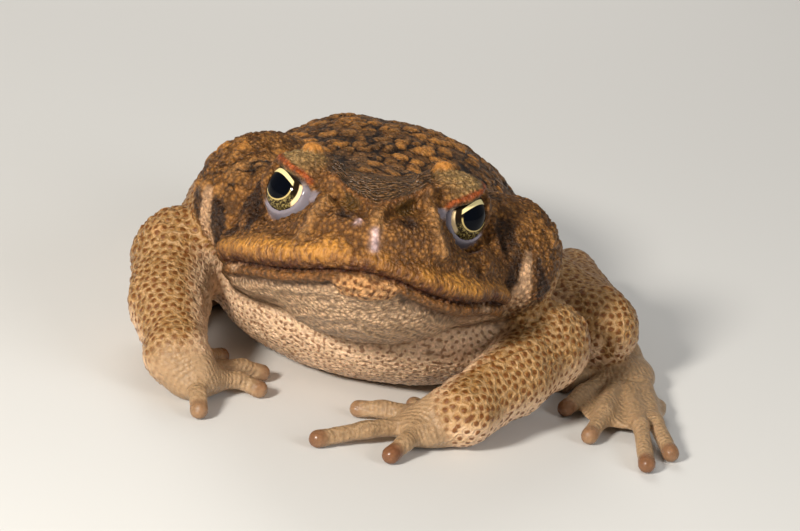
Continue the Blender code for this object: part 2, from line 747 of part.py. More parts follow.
def main():
    for thing in list(bpy.data.objects):
        bpy.data.objects.remove(thing)
    rest = shaped("torso", whole, (-78, -60, -2), (84, 112, 62), 1.5, BODY_TRIANGLES)
    nodes = {}
    for side, limb in LIMBS.items():
        foot = cutter_round(limb["sole"] + limb["toes"], 2.5, 0.7, triangles=620)
        nodes["foot_" + side] = part_off(rest, "foot_" + side, foot)
        shank = cutter_round(limb["shank"], 4.0, 0.6)
        nodes["shank_" + side] = part_off(rest, "shank_" + side, shank)
        hip = joint_plane(limb["thigh"][0], None, 0.35)
        thigh = cutter_round(limb["thigh"], 5.0, 0.9, hip)
        nodes["thigh_" + side] = part_off(rest, "thigh_" + side, thigh)
        hand = cutter_round(limb["palm"] + limb["fingers"], 2.5, 0.8, triangles=520)
        nodes["hand_" + side] = part_off(rest, "hand_" + side, hand)
        elbow = joint_plane(limb["upper_arm"][0], limb["forearm"][0])
        forearm = cutter_round(limb["forearm"], 5.0, 1.6, elbow)
        nodes["forearm_" + side] = part_off(rest, "forearm_" + side, forearm)
        shoulder = joint_plane(limb["upper_arm"][0], None, 0.5)
        upper = cutter_round(limb["upper_arm"], 5.0, 1.2, shoulder)
        nodes["upper_arm_" + side] = part_off(rest, "upper_arm_" + side, upper)
    for side, gland in zip(SIDES, GLANDS):
        def field(points, gland=gland):
            return np.maximum(gland.distance(points) - 0.5, -whole(points) - GLAND_DEPTH)
        low, high = reach([gland], 4.0)
        cutter = shaped("cutter", field, low, high, 1.6, 360)
        nodes["gland_" + side] = part_off(rest, "gland_" + side, cutter)

    def head_reach(points):
        return np.maximum(head_flesh(points) - 1.0, to_head(points)[:, 1] - NECK_PLACE)

    cutter = shaped("cutter", head_reach, (-46, -62, 2), (46, 24, 64), 1.8, 700)
    head = part_off(rest, "head", cutter)
    nodes["jaw"] = part_off(head, "jaw", below_mouth())
    nodes["head"], nodes["torso"] = head, rest
    for side, sign in SIDES.items():
        eye = eye_ball("eye_" + side, sign)
        socket = copy_of(eye, "cutter")
        grow(socket, GAP)
        boolean(head, socket, "DIFFERENCE")
        discard(socket)
        largest_body(head)
        nodes["ear_" + side] = part_off(head, "ear_" + side, ear_disc(sign))
        nodes["eye_" + side] = eye
    for name, node in nodes.items():
        if not name.startswith(("eye", "ear")):
            thin_closed(node, {"torso": TORSO_SHARE, "head": HEAD_SHARE}.get(name, NODE_SHARE))
    add_warts(nodes)
    settle_on_origin(nodes)
    paints = {name: material(name, *look) for name, look in PAINTS.items()}
    for name, node in nodes.items():
        node.data.materials.clear()
        node.data.materials.append(paints["eye" if name.startswith("eye") else "skin"])


if __name__ == "__main__":
    main()
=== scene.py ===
"""A life-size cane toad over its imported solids: one warty skin and two glassy eyes.

Flesh is built from stretched balls and tapered rods that melt into one another, the same ones
that the solids have, and finer forms are added to it: lids, lips, folds, warts and pores.
Sizes are in millimetres in the toad's own frame and become metres when a mesh is made.
+X is the toad's left, +Y its rear and +Z up, and the floor is at zero height.
"""

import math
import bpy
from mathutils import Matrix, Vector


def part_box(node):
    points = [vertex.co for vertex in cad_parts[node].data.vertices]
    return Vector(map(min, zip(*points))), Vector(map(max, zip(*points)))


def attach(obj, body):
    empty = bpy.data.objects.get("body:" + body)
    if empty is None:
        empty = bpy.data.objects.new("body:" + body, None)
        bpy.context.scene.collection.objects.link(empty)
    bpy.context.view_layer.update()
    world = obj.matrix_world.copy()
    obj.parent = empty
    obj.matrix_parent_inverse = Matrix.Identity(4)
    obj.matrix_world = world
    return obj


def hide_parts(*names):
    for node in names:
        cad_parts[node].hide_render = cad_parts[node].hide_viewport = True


bl_info = {
    "name": "Cane toad",
    "version": (1, 0, 0),
    "blender": (4, 5, 0),
    "location": "View3D > Sidebar > Toad",
    "description": "A life-size cane toad with one warty skin and two glassy eyes",
    "category": "Add Mesh",
}

from types import SimpleNamespace

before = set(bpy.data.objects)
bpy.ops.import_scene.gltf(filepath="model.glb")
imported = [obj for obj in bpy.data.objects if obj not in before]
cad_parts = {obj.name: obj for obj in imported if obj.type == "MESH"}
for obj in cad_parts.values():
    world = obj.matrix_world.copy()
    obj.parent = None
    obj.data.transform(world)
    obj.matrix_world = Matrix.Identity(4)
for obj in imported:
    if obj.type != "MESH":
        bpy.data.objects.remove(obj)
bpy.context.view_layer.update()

import bmesh
import bpy
import numpy as np
from bpy.props import FloatProperty, FloatVectorProperty, IntProperty, PointerProperty
from mathutils import Euler, Matrix, Quaternion, Vector
from mathutils.kdtree import KDTree

MM = 0.001
FAR = 1.0e3
FLOOR = 0.0
LEFT, RIGHT = 1.0, -1.0
SIDES = {"left": LEFT, "right": RIGHT}

HEAD_WIDTH = 61.0
HEAD_LENGTH = 46.0
JAW_HEIGHT = 24.7
HEAD_TURN = math.radians(11.0)
HEAD_LIFT = math.radians(20.0)
HEAD_ROLL = math.radians(-1.8)
EYE_RADIUS = 7.0
EYE_PLACE = (16.2, -20.5, 15.9)
IRIS_OUTWARD = math.radians(37.0)
IRIS_UPWARD = math.radians(2.0)
IRIS_TILT = math.radians(5.3)
OPENING_MIDDLE, OPENING_RADIUS = (-0.15, -0.1), 4.75
CORNER_PLACE, CORNER_RADIUS = (-2.9, 3.7), 1.4
LID_EDGE_HEIGHT, LID_EDGE_SLOPE = 3.3, -0.5
BOWL_PLACE, BOWL_RADIUS = (0.8, -1.6, 1.5), 8.0
LIDS_REACH, SOCKET_RADIUS, LID_THICKNESS = 17.0, 8.1, 0.45
BODY_HALF_WIDTH = 34.0
BACK_HEIGHT = 42.8
SPINE_BEND = 0.22
NOISE_ROOM, COBBLE_ROOM = 24, 16
WART_SEED = 11
WART_TRIES = 6000
WART_COUNT = 60
WART_RADII = (1.5, 2.8)
WART_GAP = 1.5
SPREAD_POINTS = 60000
COBBLE_SIZE = 4.1
GRAIN_SIZE = 1.7
GRANULE_SIZE = 1.3
SPOT_SPACING = 1.55
DOT_SPACING = 1.15
THROAT_ROW = 2.4
LEDGE_HEIGHT, LEDGE_SLOPE = 14.2, 0.51


def linear(code):
    """The linear colour of an sRGB hex value."""
    shares = [int(code[place:place + 2], 16) / 255.0 for place in (1, 3, 5)]
    return tuple(
        share / 12.92 if share <= 0.04045 else ((share + 0.055) / 1.055) ** 2.4
        for share in shares
    )


# Flesh: the shapes that the solids are made of


class Ball:
    """A stretched ball of flesh: a centre, three radii and a turn in degrees."""

    def __init__(self, centre, radii, turn=(0.0, 0.0, 0.0)):
        self.centre, self.radii, self.turn = np.array(centre, float), np.array(radii, float), turn
        self.axes = np.array(Euler([math.radians(a) for a in turn]).to_matrix())
        reach = np.abs(self.axes) @ self.radii
        self.low, self.high = self.centre - reach, self.centre + reach

    def mirrored(self):
        """Its mirror image across the body's middle."""
        lean, roll, swing = self.turn
        return Ball(self.centre * (-1, 1, 1), self.radii, (lean, -roll, -swing))

    def distance(self, points):
        local = (points - self.centre) @ self.axes
        near = np.linalg.norm(local / self.radii, axis=1)
        steep = np.linalg.norm(local / self.radii**2, axis=1)
        return near * (near - 1.0) / np.maximum(steep, 1e-9)


class Rod:
    """A tapered rod of flesh along a chain of (x, y, z, radius) stations."""

    def __init__(self, *stations):
        self.stations = np.array(stations, float)
        places, radii = self.stations[:, :3], self.stations[:, 3:]
        self.low, self.high = (places - radii).min(axis=0), (places + radii).max(axis=0)

    def mirrored(self):
        """Its mirror image across the body's middle."""
        return Rod(*(self.stations * (-1, 1, 1, 1)))

    def distance(self, points):
        found = np.full(len(points), FAR)
        for start, end in zip(self.stations[:-1], self.stations[1:]):
            along = end[:3] - start[:3]
            share = ((points - start[:3]) @ along) / (along @ along)
            share = np.clip(share, 0.0, 1.0)
            away = np.linalg.norm(points - start[:3] - share[:, None] * along, axis=1)
            found = np.minimum(found, away - start[3] - share * (end[3] - start[3]))
        return found


def rise(value, low, high):
    """A smooth step from 0 at low to 1 at high."""
    share = np.clip((value - low) / (high - low), 0.0, 1.0)
    return share * share * (3.0 - 2.0 * share)


def melt(first, second, width):
    """The smooth union of two distances: they run together over this width."""
    share = np.clip(0.5 + 0.5 * (second - first) / width, 0.0, 1.0)
    return second + (first - second) * share - width * share * (1.0 - share)


def in_box(points, shape, room):
    """Whether each point is in the shape's box or this near to it."""
    return ((points > shape.low - room) & (points < shape.high + room)).all(axis=1)


def flesh(points, shapes, width, found=None):
    """The distance to shapes that melt together. Each is worked out only near its own box."""
    found = np.full(len(points), FAR) if found is None else found
    for shape in shapes:
        near = in_box(points, shape, width + 6.0)
        if near.any():
            found[near] = melt(found[near], shape.distance(points[near]), width)
    return found


def both(shapes):
    """Each shape, followed by its mirror image."""
    return [form for shape in shapes for form in (shape, shape.mirrored())]


def away_from(points, place, sign=LEFT):
    """How far each point is from a place, or with sign RIGHT from the place's mirror image."""
    return np.linalg.norm(points - np.array(place) * (sign, 1, 1), axis=1)


HEAD_AXES = np.array(
    Matrix.Rotation(HEAD_TURN, 3, "Z")
    @ Matrix.Rotation(-HEAD_LIFT, 3, "X")
    @ Matrix.Rotation(HEAD_ROLL, 3, "Y")
)
HEAD_SEAT = np.array((0.0, 0.0, JAW_HEIGHT))


def to_head(points):
    return (points - HEAD_SEAT) @ HEAD_AXES


def from_head(points):
    return np.array(points, float) @ HEAD_AXES.T + HEAD_SEAT


# The mouth's height in the head's frame at places from the toad's right to its left
MOUTH_LINE = np.polynomial.Polynomial.fit(
    (-31, -24, -18, -13, -6, -1, 4, 10, 15, 21, 31),
    (0.3, -0.4, -0.7, -0.6, 0.0, 0.4, -0.3, -1.8, -2.6, -2.8, -1.8),
    7,
)


def mouth_height(across):
    """The height of the mouth line in the head's frame, this far from the middle."""
    return MOUTH_LINE(np.clip(across, -31.0, 31.0))


def lip_line(share_wide, share_long, above, radius, count=17):
    """Stations round the muzzle along the mouth, from one corner to the other."""
    turns = np.linspace(-0.5 * math.pi, 0.5 * math.pi, count)
    wide, long = 0.5 * HEAD_WIDTH * share_wide, HEAD_LENGTH * share_long
    across = wide * np.sin(turns)
    back = -long * np.cos(turns)
    return list(zip(across, back, mouth_height(across) + above, [radius] * count))


SKULL = [
    Ball((0, 0, 5.2), (30.4, 45.6, 11.5)),
    Ball((0, -36.0, 7.6), (15.0, 10.6, 7.4)),
    Ball((0, -10, 14.4), (19, 28, 8.0)),
    Rod(*lip_line(0.965, 0.975, 2.5, 2.5)),
] + both([
    Ball((15.4, -19.5, 17.6), (9.0, 10.4, 7.2)),
    Ball((13.5, -4, 17.0), (11.0, 14, 8.2)),
    Ball((23.5, 2, 11.0), (8.8, 15, 11)),
])
CRESTS = both([
    Rod((1.0, -42.4, 12.6, 1.3), (5.0, -37.5, 15.6, 1.4), (10.0, -30.4, 18.6, 1.4)),
    Rod((10.0, -30.4, 18.6, 1.4), (9.4, -22, 22.4, 1.5), (11.4, -11.5, 23.4, 1.6)),
    Rod((11.4, -11.5, 23.4, 1.6), (19, -10.5, 21.6, 1.7), (24.8, -13.5, 16.4, 1.5),
        (26.8, -15, 9, 1.3)),
    Rod((10.0, -30.6, 18.0, 1.3), (12.0, -38.0, 11.8, 1.3), (14.2, -39.4, 6.4, 1.2)),
])
NOSE = [Rod((0, -44.0, 11.4, 1.2), (0, -45.6, 6.4, 1.1))]
UPPER_LIDS = both([Ball((16.0, -20.1, 16.5), (8.2, 8.2, 8.0))])
NOSTRILS = both([Ball((6.1, -44.0, 11.9), (1.4, 1.6, 0.9), (0, -20, 24))])
JAW = [
    Ball((0, 2, -3.4), (28.6, 44.4, 5.2)),
    Ball((1, -14, -5.4), (18, 25, 7.6)),
    Ball((0.4, -41.4, -3.4), (5.8, 4.6, 2.7)),
    Rod(*lip_line(0.962, 0.972, -1.4, 1.35)),
]


def bent(along):
    """How far the spine has swung to the toad's right at this distance behind the head."""
    return -SPINE_BEND * (along - 6.0)


TORSO = [
    Ball((bent(52), 52, 24), (BODY_HALF_WIDTH, 53, BACK_HEIGHT - 24)),
    Ball((bent(36), 36, 31), (25, 42, 12.0)),
    Ball((0, 17, 14), (36, 26, 14)),
    Ball((bent(44) + 3, 46, 12), (35, 44, 12.6)),
    Ball((bent(84), 84, 19), (22, 21, 14)),
    Ball((0, 8, 31.5), (25, 22, 11.7)),
    Ball((22, 26, 25), (12, 20, 11)),
    Ball((-25, 24, 28), (13, 19, 12)),
]
GLANDS = [
    Ball((28.0, 13.5, 33.6), (12.0, 18.0, 12.2), (8, 0, 12)),
    Ball((-29.2, 13.5, 35.2), (12.6, 19.0, 13.0), (8, 0, -12)),
]

LIMBS = {
    "left": {
        "upper_arm": [Rod((20, 24, 20, 10), (40, 13, 16, 9.0))],
        "forearm": [Rod((39.5, 13, 15, 9.0), (36, -3, 12, 8.4), (29, -19, 8.0, 6.2))],
        "palm": [
            Rod((29, -19, 7.6, 6.0), (24, -20.5, 5.2, 5.6)),
            Ball((21.5, -21.5, 3.8), (6.0, 7.8, 4.0), (0, 0, 12)),
        ],
        "fingers": [
            ((22, -15, 3.4), (19.5, -10, 3.2), (16.5, -5.5, 1.75)),
            ((17.5, -16, 3.4), (11.5, -15.8, 3.2), (6.2, -15.3, 1.75)),
            ((17.5, -23.5, 3.4), (10.9, -30, 3.2), (2.6, -37.6, 1.75)),
            ((20.8, -27.4, 3.6), (19.8, -32.6, 3.3), (18.1, -37, 1.75)),
        ],
        "thigh": [Rod((6, 84, 18.5, 14.5), (26.5, 62, 13.2, 11.4), (45, 43, 12.3, 10.1))],
        "shank": [Rod((49.0, 41, 13, 8.8), (42.5, 62, 11.0, 8.0), (35.5, 88.5, 9.8, 6.2))],
        "sole": [
            Rod((38, 91, 7.0, 5.6), (47, 70, 5.0, 5.0), (54, 50, 4.4, 5.2)),
            Ball((56, 42, 3.6), (7.5, 11, 4.0), (0, 0, 14)),
            Ball((55.5, 20, 2.2), (6.4, 11.5, 1.5), (0, 0, 6)),
            Ball((63.5, 21, 2.4), (4.4, 11.5, 1.5), (0, 0, -12)),
        ],
        "toes": [
            ((51, 38, 3.2), (47.5, 34, 3.4), (44.5, 30, 1.75)),
            ((52.5, 33, 3.2), (49.5, 22, 3.6), (47.1, 14.5, 1.75)),
            ((55.5, 30, 3.4), (56, 12, 3.8), (54.5, 0.8, 1.75)),
            ((59.5, 30, 3.6), (64.5, 8, 4.0), (68.3, -8.2, 1.75)),
            ((62, 34, 3.6), (67, 14, 3.6), (72.3, 1.6, 1.75)),
        ],
    },
    "right": {
        "upper_arm": [Rod((-20, 24, 24, 11), (-43, 7, 19.5, 9.4))],
        "forearm": [Rod((-43, 7, 18.5, 9.4), (-40, -9, 13.5, 8.8), (-33, -24, 8.4, 6.2))],
        "palm": [
            Rod((-32.5, -26, 8, 6.0), (-29, -26.5, 5.4, 5.6)),
            Ball((-27.5, -24.5, 3.8), (5.6, 7.4, 4.0), (0, 0, -6)),
        ],
        "fingers": [
            ((-30, -17, 3.8), (-30, -9.5, 3.4), (-28, -3, 1.75)),
            ((-26, -17, 3.6), (-21.3, -10.5, 3.2), (-17.5, -7.5, 1.75)),
            ((-24, -23, 3.4), (-20, -18.5, 3.2), (-15.4, -17.5, 1.75)),
            ((-26.3, -29.5, 3.8), (-24.6, -34, 3.4), (-23.2, -37.2, 1.75)),
        ],
        "thigh": [Rod((-24, 88, 21, 16), (-38, 70, 16.5, 13.6), (-43, 52, 14.0, 11.2))],
        "shank": [Rod((-46, 50, 14, 9.0), (-50, 72, 13.5, 8.6), (-46, 97, 11.0, 6.2))],
        "sole": [
            Rod((-47, 98, 7.0, 5.6), (-49, 78, 5.0, 5.0), (-46, 58, 4.4, 5.2)),
            Ball((-45.5, 50, 3.6), (7.5, 11, 4.0), (0, 0, 4)),
            Ball((-42.5, 34, 2.2), (5.6, 9.0, 1.5), (0, 0, -8)),
            Ball((-48.5, 33, 2.4), (4.6, 9.0, 1.5), (0, 0, 6)),
        ],
        "toes": [
            ((-42, 49, 3.2), (-38, 46, 3.4), (-34, 43, 1.75)),
            ((-42, 44, 3.2), (-38, 38, 3.6), (-35, 33, 1.75)),
            ((-44, 40, 3.4), (-41.5, 30, 3.8), (-39.5, 21, 1.75)),
            ((-47, 40, 3.6), (-47, 26, 4.0), (-47, 14, 1.75)),
            ((-49, 45, 3.4), (-51.5, 34, 3.6), (-52, 25, 1.75)),
        ],
    },
}
DIGIT_ROOT, DIGIT_WAIST, DIGIT_TIP = 2.2, 1.65, 1.85


def digit(root, knuckle, tip):
    return Rod((*root, DIGIT_ROOT), (*knuckle, DIGIT_WAIST), (*tip, DIGIT_TIP))


for limb in LIMBS.values():
    limb["fingers"] = [digit(*places) for places in limb["fingers"]]
    limb["toes"] = [digit(*places) for places in limb["toes"]]


def iris_axes(sign):
    """The iris's own frame within the head: toward the nose, upward and out along its look.
    The right eye looks up a little and the left one down, as the photographed toad's do."""
    lift = IRIS_UPWARD - sign * IRIS_TILT
    look = np.array((
        sign * math.sin(IRIS_OUTWARD) * math.cos(lift),
        -math.cos(IRIS_OUTWARD) * math.cos(lift),
        math.sin(lift),
    ))
    across = np.cross(look, (0, 0, 1.0)) * sign
    across /= np.linalg.norm(across)
    return np.stack([across, np.cross(across, look) * sign, look], axis=1)


def on_iris(local, sign):
    """Points of the head as (toward the nose, upward, depth) from the eye's middle, as they are
    and carried along the ball's own radius onto the ball, and their distance from its middle."""
    away = (local - np.array(EYE_PLACE) * (sign, 1, 1)) @ iris_axes(sign)
    far = np.maximum(np.linalg.norm(away, axis=1), 1e-6)
    return away, away * (EYE_RADIUS / far)[:, None], far


def front_low(across, upward):
    """How far a place lies toward the front and lower side of the eye, where a membrane shows."""
    return 0.6 * across - 0.8 * upward


def over_lid_edge(across, upward):
    """How far a place on the eyeball is above the upper lid's edge."""
    steep = math.hypot(1.0, LID_EDGE_SLOPE)
    return (upward - LID_EDGE_HEIGHT - LID_EDGE_SLOPE * across) / steep


def opening_edge(across, upward):
    """How far outside the lids' opening a place on the eyeball is: round, with a raised rear
    corner, and cut off by the upper lid."""
    ring = np.hypot(across - OPENING_MIDDLE[0], upward - OPENING_MIDDLE[1]) - OPENING_RADIUS
    corner = np.hypot(across - CORNER_PLACE[0], upward - CORNER_PLACE[1]) - CORNER_RADIUS
    ring = melt(ring, corner, 1.5)
    return -melt(-ring, -over_lid_edge(across, upward), 0.8)


def hollow(found, points, shape, width):
    """Take a shape out of the flesh with a softened edge."""
    near = in_box(points, shape, 2)
    if near.any():
        found[near] = -melt(-found[near], shape.distance(points[near]), width)
    return found


def head_flesh(points):
    """Distance to the skull and the jaw, with the brows, the nostrils and the lids' openings."""
    local = to_head(points)
    skull = flesh(local, SKULL, 4.0)
    skull = flesh(local, CRESTS, 1.8, skull)
    skull = flesh(local, NOSE, 1.8, skull)
    for nostril in NOSTRILS:
        skull = hollow(skull, local, nostril, 0.6)
    for sign, lid in zip((LEFT, RIGHT), UPPER_LIDS):
        near = away_from(local, EYE_PLACE, sign) < LIDS_REACH
        if near.any():
            away, ball, far = on_iris(local[near], sign)
            across, upward, depth = ball.T
            lid_line = over_lid_edge(across, upward)
            outside = opening_edge(across, upward)
            dome = np.maximum(lid.distance(local[near]), -lid_line)
            around = melt(skull[near], dome, 1.6)
            # Below the upper lid a shell, a bowl and a bevel are taken out round the ball
            lower = lid_line + 0.3
            front = front_low(across, upward)
            shell = np.maximum(np.maximum(far - SOCKET_RADIUS, 2.2 - away[:, 2]), -0.5 - front)
            bowl = np.linalg.norm(away - BOWL_PLACE, axis=1) - BOWL_RADIUS
            bowl = -melt(-bowl, away[:, 2] - 2.4, 1.5)
            bowl = np.maximum(bowl, -0.5 - front)
            level = opening_edge(away[:, 0], away[:, 1])
            bevel = np.maximum(EYE_RADIUS + 0.4 + 0.9 * level - far, level - 1.5)
            bevel = np.maximum(bevel, 1.0 - away[:, 2])
            taken = np.maximum(melt(np.minimum(shell, bowl), bevel, 0.8), lower)
            around = -melt(-around, taken, 1.2)
            # Then a thin lower lid is laid on the ball, and the opening is cut through the skin
            lower_lid = np.where(depth > -6.0, far - EYE_RADIUS - LID_THICKNESS, FAR)
            around = melt(around, np.maximum(lower_lid, -1.0 - front), 1.0)
            gap = np.maximum(outside, np.where(depth > 0, 4.5 - far, 9.0))
            skull[near] = -melt(-around, gap, 0.3)
    jaw = flesh(local, JAW, 2.4)
    return np.minimum(skull, jaw)


def limb_flesh(points, limb, names, width, found=None):
    shapes = [shape for name in names for shape in limb[name]]
    return flesh(points, shapes, width, found)


def body_parts(points):
    """Distances to the torso, the glands, the head and each limb's parts, before they melt.
    Where loose skin folds, as under the jaw, the parts meet in a sharper crease."""
    local = to_head(points)
    parts = {
        "torso": flesh(points, TORSO, 9.0),
        "gland": flesh(points, GLANDS, 4.0),
        "head": head_flesh(points),
    }
    for name in ("arm", "leg", "foot"):
        parts[name] = np.full(len(points), FAR)
    high = rise(local[:, 2], -2.0, 8.0)
    found = melt(parts["torso"], parts["gland"], 2.0 + 2.0 * high)
    found = melt(found, parts["head"], 1.6 + 3.4 * high)
    for limb in LIMBS.values():
        arm = limb_flesh(points, limb, ["upper_arm", "forearm"], 5.0)
        hand = limb_flesh(points, limb, ["palm", "fingers"], 1.6)
        found = melt(found, melt(arm, hand, 4.0), 3.2)
        leg = limb_flesh(points, limb, ["thigh"], 5.0)
        leg = melt(leg, limb_flesh(points, limb, ["shank"], 4.0), 2.5)
        found = melt(found, leg, 3.2)
        foot = limb_flesh(points, limb, ["sole", "toes"], 1.8)
        found = melt(found, foot, 1.6)
        palm = limb_flesh(points, limb, ["palm"], 1.0) + 0.8
        digits_only = limb_flesh(points, limb, ["fingers"], 1.6, palm)
        extremity = np.minimum(foot, digits_only)
        for name, distance in (("arm", arm), ("leg", leg), ("foot", extremity)):
            parts[name] = np.minimum(parts[name], distance)
    parts["whole"] = np.maximum(found, FLOOR - points[:, 2])
    return parts


def whole(points):
    """Distance to the skin of the whole toad, cut level with the floor."""
    return body_parts(points)["whole"]


# Surface: from distances to a mesh


CORNERS = [(i, j, k) for i in (0, 1) for j in (0, 1) for k in (0, 1)]
AROUND = [(i, j, k) for i in (-1, 0, 1) for j in (-1, 0, 1) for k in (-1, 0, 1)]
EDGES = [
    (start, end) for start in range(8) for end in range(start + 1, 8)
    if sum(abs(a - b) for a, b in zip(CORNERS[start], CORNERS[end])) == 1
]


def contour(field, low, high, cell):
    """Points and faces of the field's zero level, one point in each grid cell it crosses."""
    axes = [np.arange(a, b + cell, cell) for a, b in zip(low, high)]
    grid = np.stack(np.meshgrid(*axes, indexing="ij"), axis=-1)
    size = grid.shape[:3]
    value = field(grid.reshape(-1, 3)).reshape(size)
    value = np.where(np.abs(value) < 1e-6, 1e-6, value)
    inner = tuple(n - 1 for n in size)
    corner = [
        value[i:i + inner[0], j:j + inner[1], k:k + inner[2]] for i, j, k in CORNERS
    ]
    total = np.zeros(inner + (3,))
    count = np.zeros(inner)
    for start, end in EDGES:
        first, second = corner[start], corner[end]
        crossed = (first < 0) != (second < 0)
        share = np.where(crossed, first / np.where(crossed, first - second, 1.0), 0.0)
        begin = np.array(CORNERS[start], float)
        step = np.array(CORNERS[end], float) - begin
        total += np.where(crossed[..., None], begin + share[..., None] * step, 0.0)
        count += crossed
    used = count > 0
    number = np.full(inner, -1)
    number[used] = np.arange(used.sum())
    places = np.argwhere(used) + total[used] / count[used][:, None]
    points = np.array([a[0] for a in axes]) + places * cell
    faces = []
    for axis in range(3):
        one, two = (axis + 1) % 3, (axis + 2) % 3
        ahead = np.moveaxis(value, (axis, one, two), (0, 1, 2))
        cells = np.moveaxis(number, (axis, one, two), (0, 1, 2))
        first, second = ahead[:-1, 1:-1, 1:-1] < 0, ahead[1:, 1:-1, 1:-1] < 0
        for change, order in ((first & ~second, 1), (second & ~first, -1)):
            a, b, c = np.nonzero(change)
            ring = [cells[a, b, c], cells[a, b + 1, c], cells[a, b + 1, c + 1], cells[a, b, c + 1]]
            faces.append(np.stack(ring[::order], axis=1))
    return points, np.concatenate(faces)


def slope(points, field, step=0.05):
    """The field's outward slope at each point."""
    rises = [field(points + step * side) - field(points - step * side) for side in np.eye(3)]
    return np.stack(rises, axis=1) / (2.0 * step)


def settle(points, field, rounds=3):
    """Move points onto the field's zero level along its slope."""
    for _ in range(rounds):
        uphill = slope(points, field)
        steep = np.maximum((uphill**2).sum(axis=1), 0.2)
        move = np.clip(field(points), -3.0, 3.0) / steep
        points = points - move[:, None] * uphill
    return points


def points_of(mesh, kind="co"):
    """The mesh's points, or their normals, as an array."""
    values = np.empty(len(mesh.vertices) * 3)
    mesh.vertices.foreach_get(kind, values)
    return values.reshape(-1, 3)


def set_points(mesh, points):
    mesh.vertices.foreach_set("co", points.ravel())
    mesh.update()


def apply_modifiers(thing):
    settled = thing.evaluated_get(bpy.context.evaluated_depsgraph_get())
    mesh = bpy.data.meshes.new_from_object(settled)
    thing.modifiers.clear()
    old = thing.data
    thing.data = mesh
    bpy.data.meshes.remove(old)


# Patterns: seeded noise and cobbles, the same each run


def band(value, low, high, soft):
    """1 between low and high, and 0 beyond them, with soft edges."""
    return rise(value, low - soft, low + soft) * (1.0 - rise(value, high - soft, high + soft))


def noise(points, size, seed):
    """Smooth noise from -1 to 1 whose swells are about this size."""
    table = np.random.default_rng(seed).random((NOISE_ROOM,) * 3)
    place = points / size
    base = np.floor(place).astype(int)
    share = place - base
    share = share * share * (3.0 - 2.0 * share)
    total = np.zeros(len(points))
    for corner in CORNERS:
        weight = np.prod(np.where(np.array(corner) == 1, share, 1.0 - share), axis=1)
        i, j, k = ((base + corner) % NOISE_ROOM).T
        total += weight * table[i, j, k]
    return 2.0 * total - 1.0


def cobbles(points, size, seed):
    """Each point's distance from its cobble's middle and edge, in sizes, and a chance number."""
    chance = np.random.default_rng(seed)
    room = (COBBLE_ROOM,) * 3
    offsets, kinds = chance.random((*room, 3)), chance.random(room)
    place = points / size
    base = np.floor(place).astype(int)
    first, second = np.full(len(points), 9.0), np.full(len(points), 9.0)
    kind = np.zeros(len(points))
    for step in np.ndindex(3, 3, 3):
        cell = base + np.array(step) - 1
        i, j, k = (cell % COBBLE_ROOM).T
        away = np.linalg.norm(place - cell - offsets[i, j, k], axis=1)
        closer = away < first
        second = np.where(closer, first, np.minimum(second, away))
        kind = np.where(closer, kinds[i, j, k], kind)
        first = np.where(closer, away, first)
    return first, second - first, kind


def near_any(points, shapes, soft):
    """1 inside any of these shapes, falling to 0 this far outside."""
    return 1.0 - rise(flesh(points, shapes, 1.0), -0.2 * soft, soft)


def wart_sites():
    """Seeded places for large warts on the back and flanks, each with a radius, drawn in the
    way that the solids draw theirs."""
    chance = np.random.default_rng(WART_SEED)
    tries = chance.uniform((-60, -4, 20), (62, 104, 52), (WART_TRIES, 3))
    places = settle(tries, whole, 6)
    outward = slope(places, whole)
    radii = chance.uniform(*WART_RADII, len(places)) * chance.uniform(0.75, 1.0, len(places))
    good = (np.abs(whole(places)) < 0.02) & (outward[:, 2] > 0.25) & (places[:, 2] > 22)
    good &= to_head(places)[:, 1] > -2
    sites = []
    for place, radius in zip(places[good], radii[good]):
        clear = all(
            np.linalg.norm(place - other) > WART_GAP * (radius + size) for other, size in sites
        )
        if clear and len(sites) < WART_COUNT:
            sites.append((place, radius))
    return sites


# The orange warts over the lids, as (place, radius): heights count half, so they stand tall
BROW_WARTS = [((-14.5, -20.7, 12.6), 2.5), ((12.9, -20.6, 12.45), 2.5)]
NOSTRIL_PLACE = (6.1, -44.0, 11.9)
NASAL_PLACE, NASAL_SIZE = (4.1, -46.3, 8.8), 2.4
# Places that look wet, with smoother skin and a painted highlight, as (path, width)
GLINTS = [
    ([(-0.1, -46.8, 8.6), (0.1, -47.4, 7.0), (0.2, -47.7, 5.2)], 0.75),
    ([(-3.9, -45.8, 9.4), (-3.3, -45.7, 10.4)], 0.5),
]
# Places across the mouth, and how far the upper lip reaches above its line there
LIP_TOP = ((-31, -22, -9, -4, 6, 12, 18, 27, 31), (4.5, 6.8, 6.6, 5.1, 4.2, 4.8, 5.3, 3.8, 3.0))
CHIN = Ball((-0.4, -43.5, -2.6), (6.6, 5.0, 2.6))
LIP_HOLLOWS = both([Ball((18.0, -37.0, 9.4), (4.0, 4.0, 2.4))])
BRIDGE_HOLLOWS = both([Ball((6.0, -38.5, 15.7), (2.0, 3.0, 1.6))])
# Shallow hollows of the head, as (shape, depth)
HEAD_HOLLOWS = [
    (Ball((28.0, -9.0, 13.0), (3.2, 4.5, 5.5)), 1.5),
    (Ball((-28.0, -9.0, 13.0), (3.2, 4.5, 5.5)), 1.9),
] + [(shape, 0.5) for shape in LIP_HOLLOWS + BRIDGE_HOLLOWS]
TEAR_CORNERS = both([Rod((13.8, -28.5, 14.6, 1.7), (12.2, -33.4, 15.3, 0.3))])
BROW_HOLLOWS = [
    Ball((-9.6, -24.0, 22.4), (0.5, 3.6, 0.8)),
    Ball((10.0, -26.0, 22.2), (0.5, 3.6, 0.8)),
]
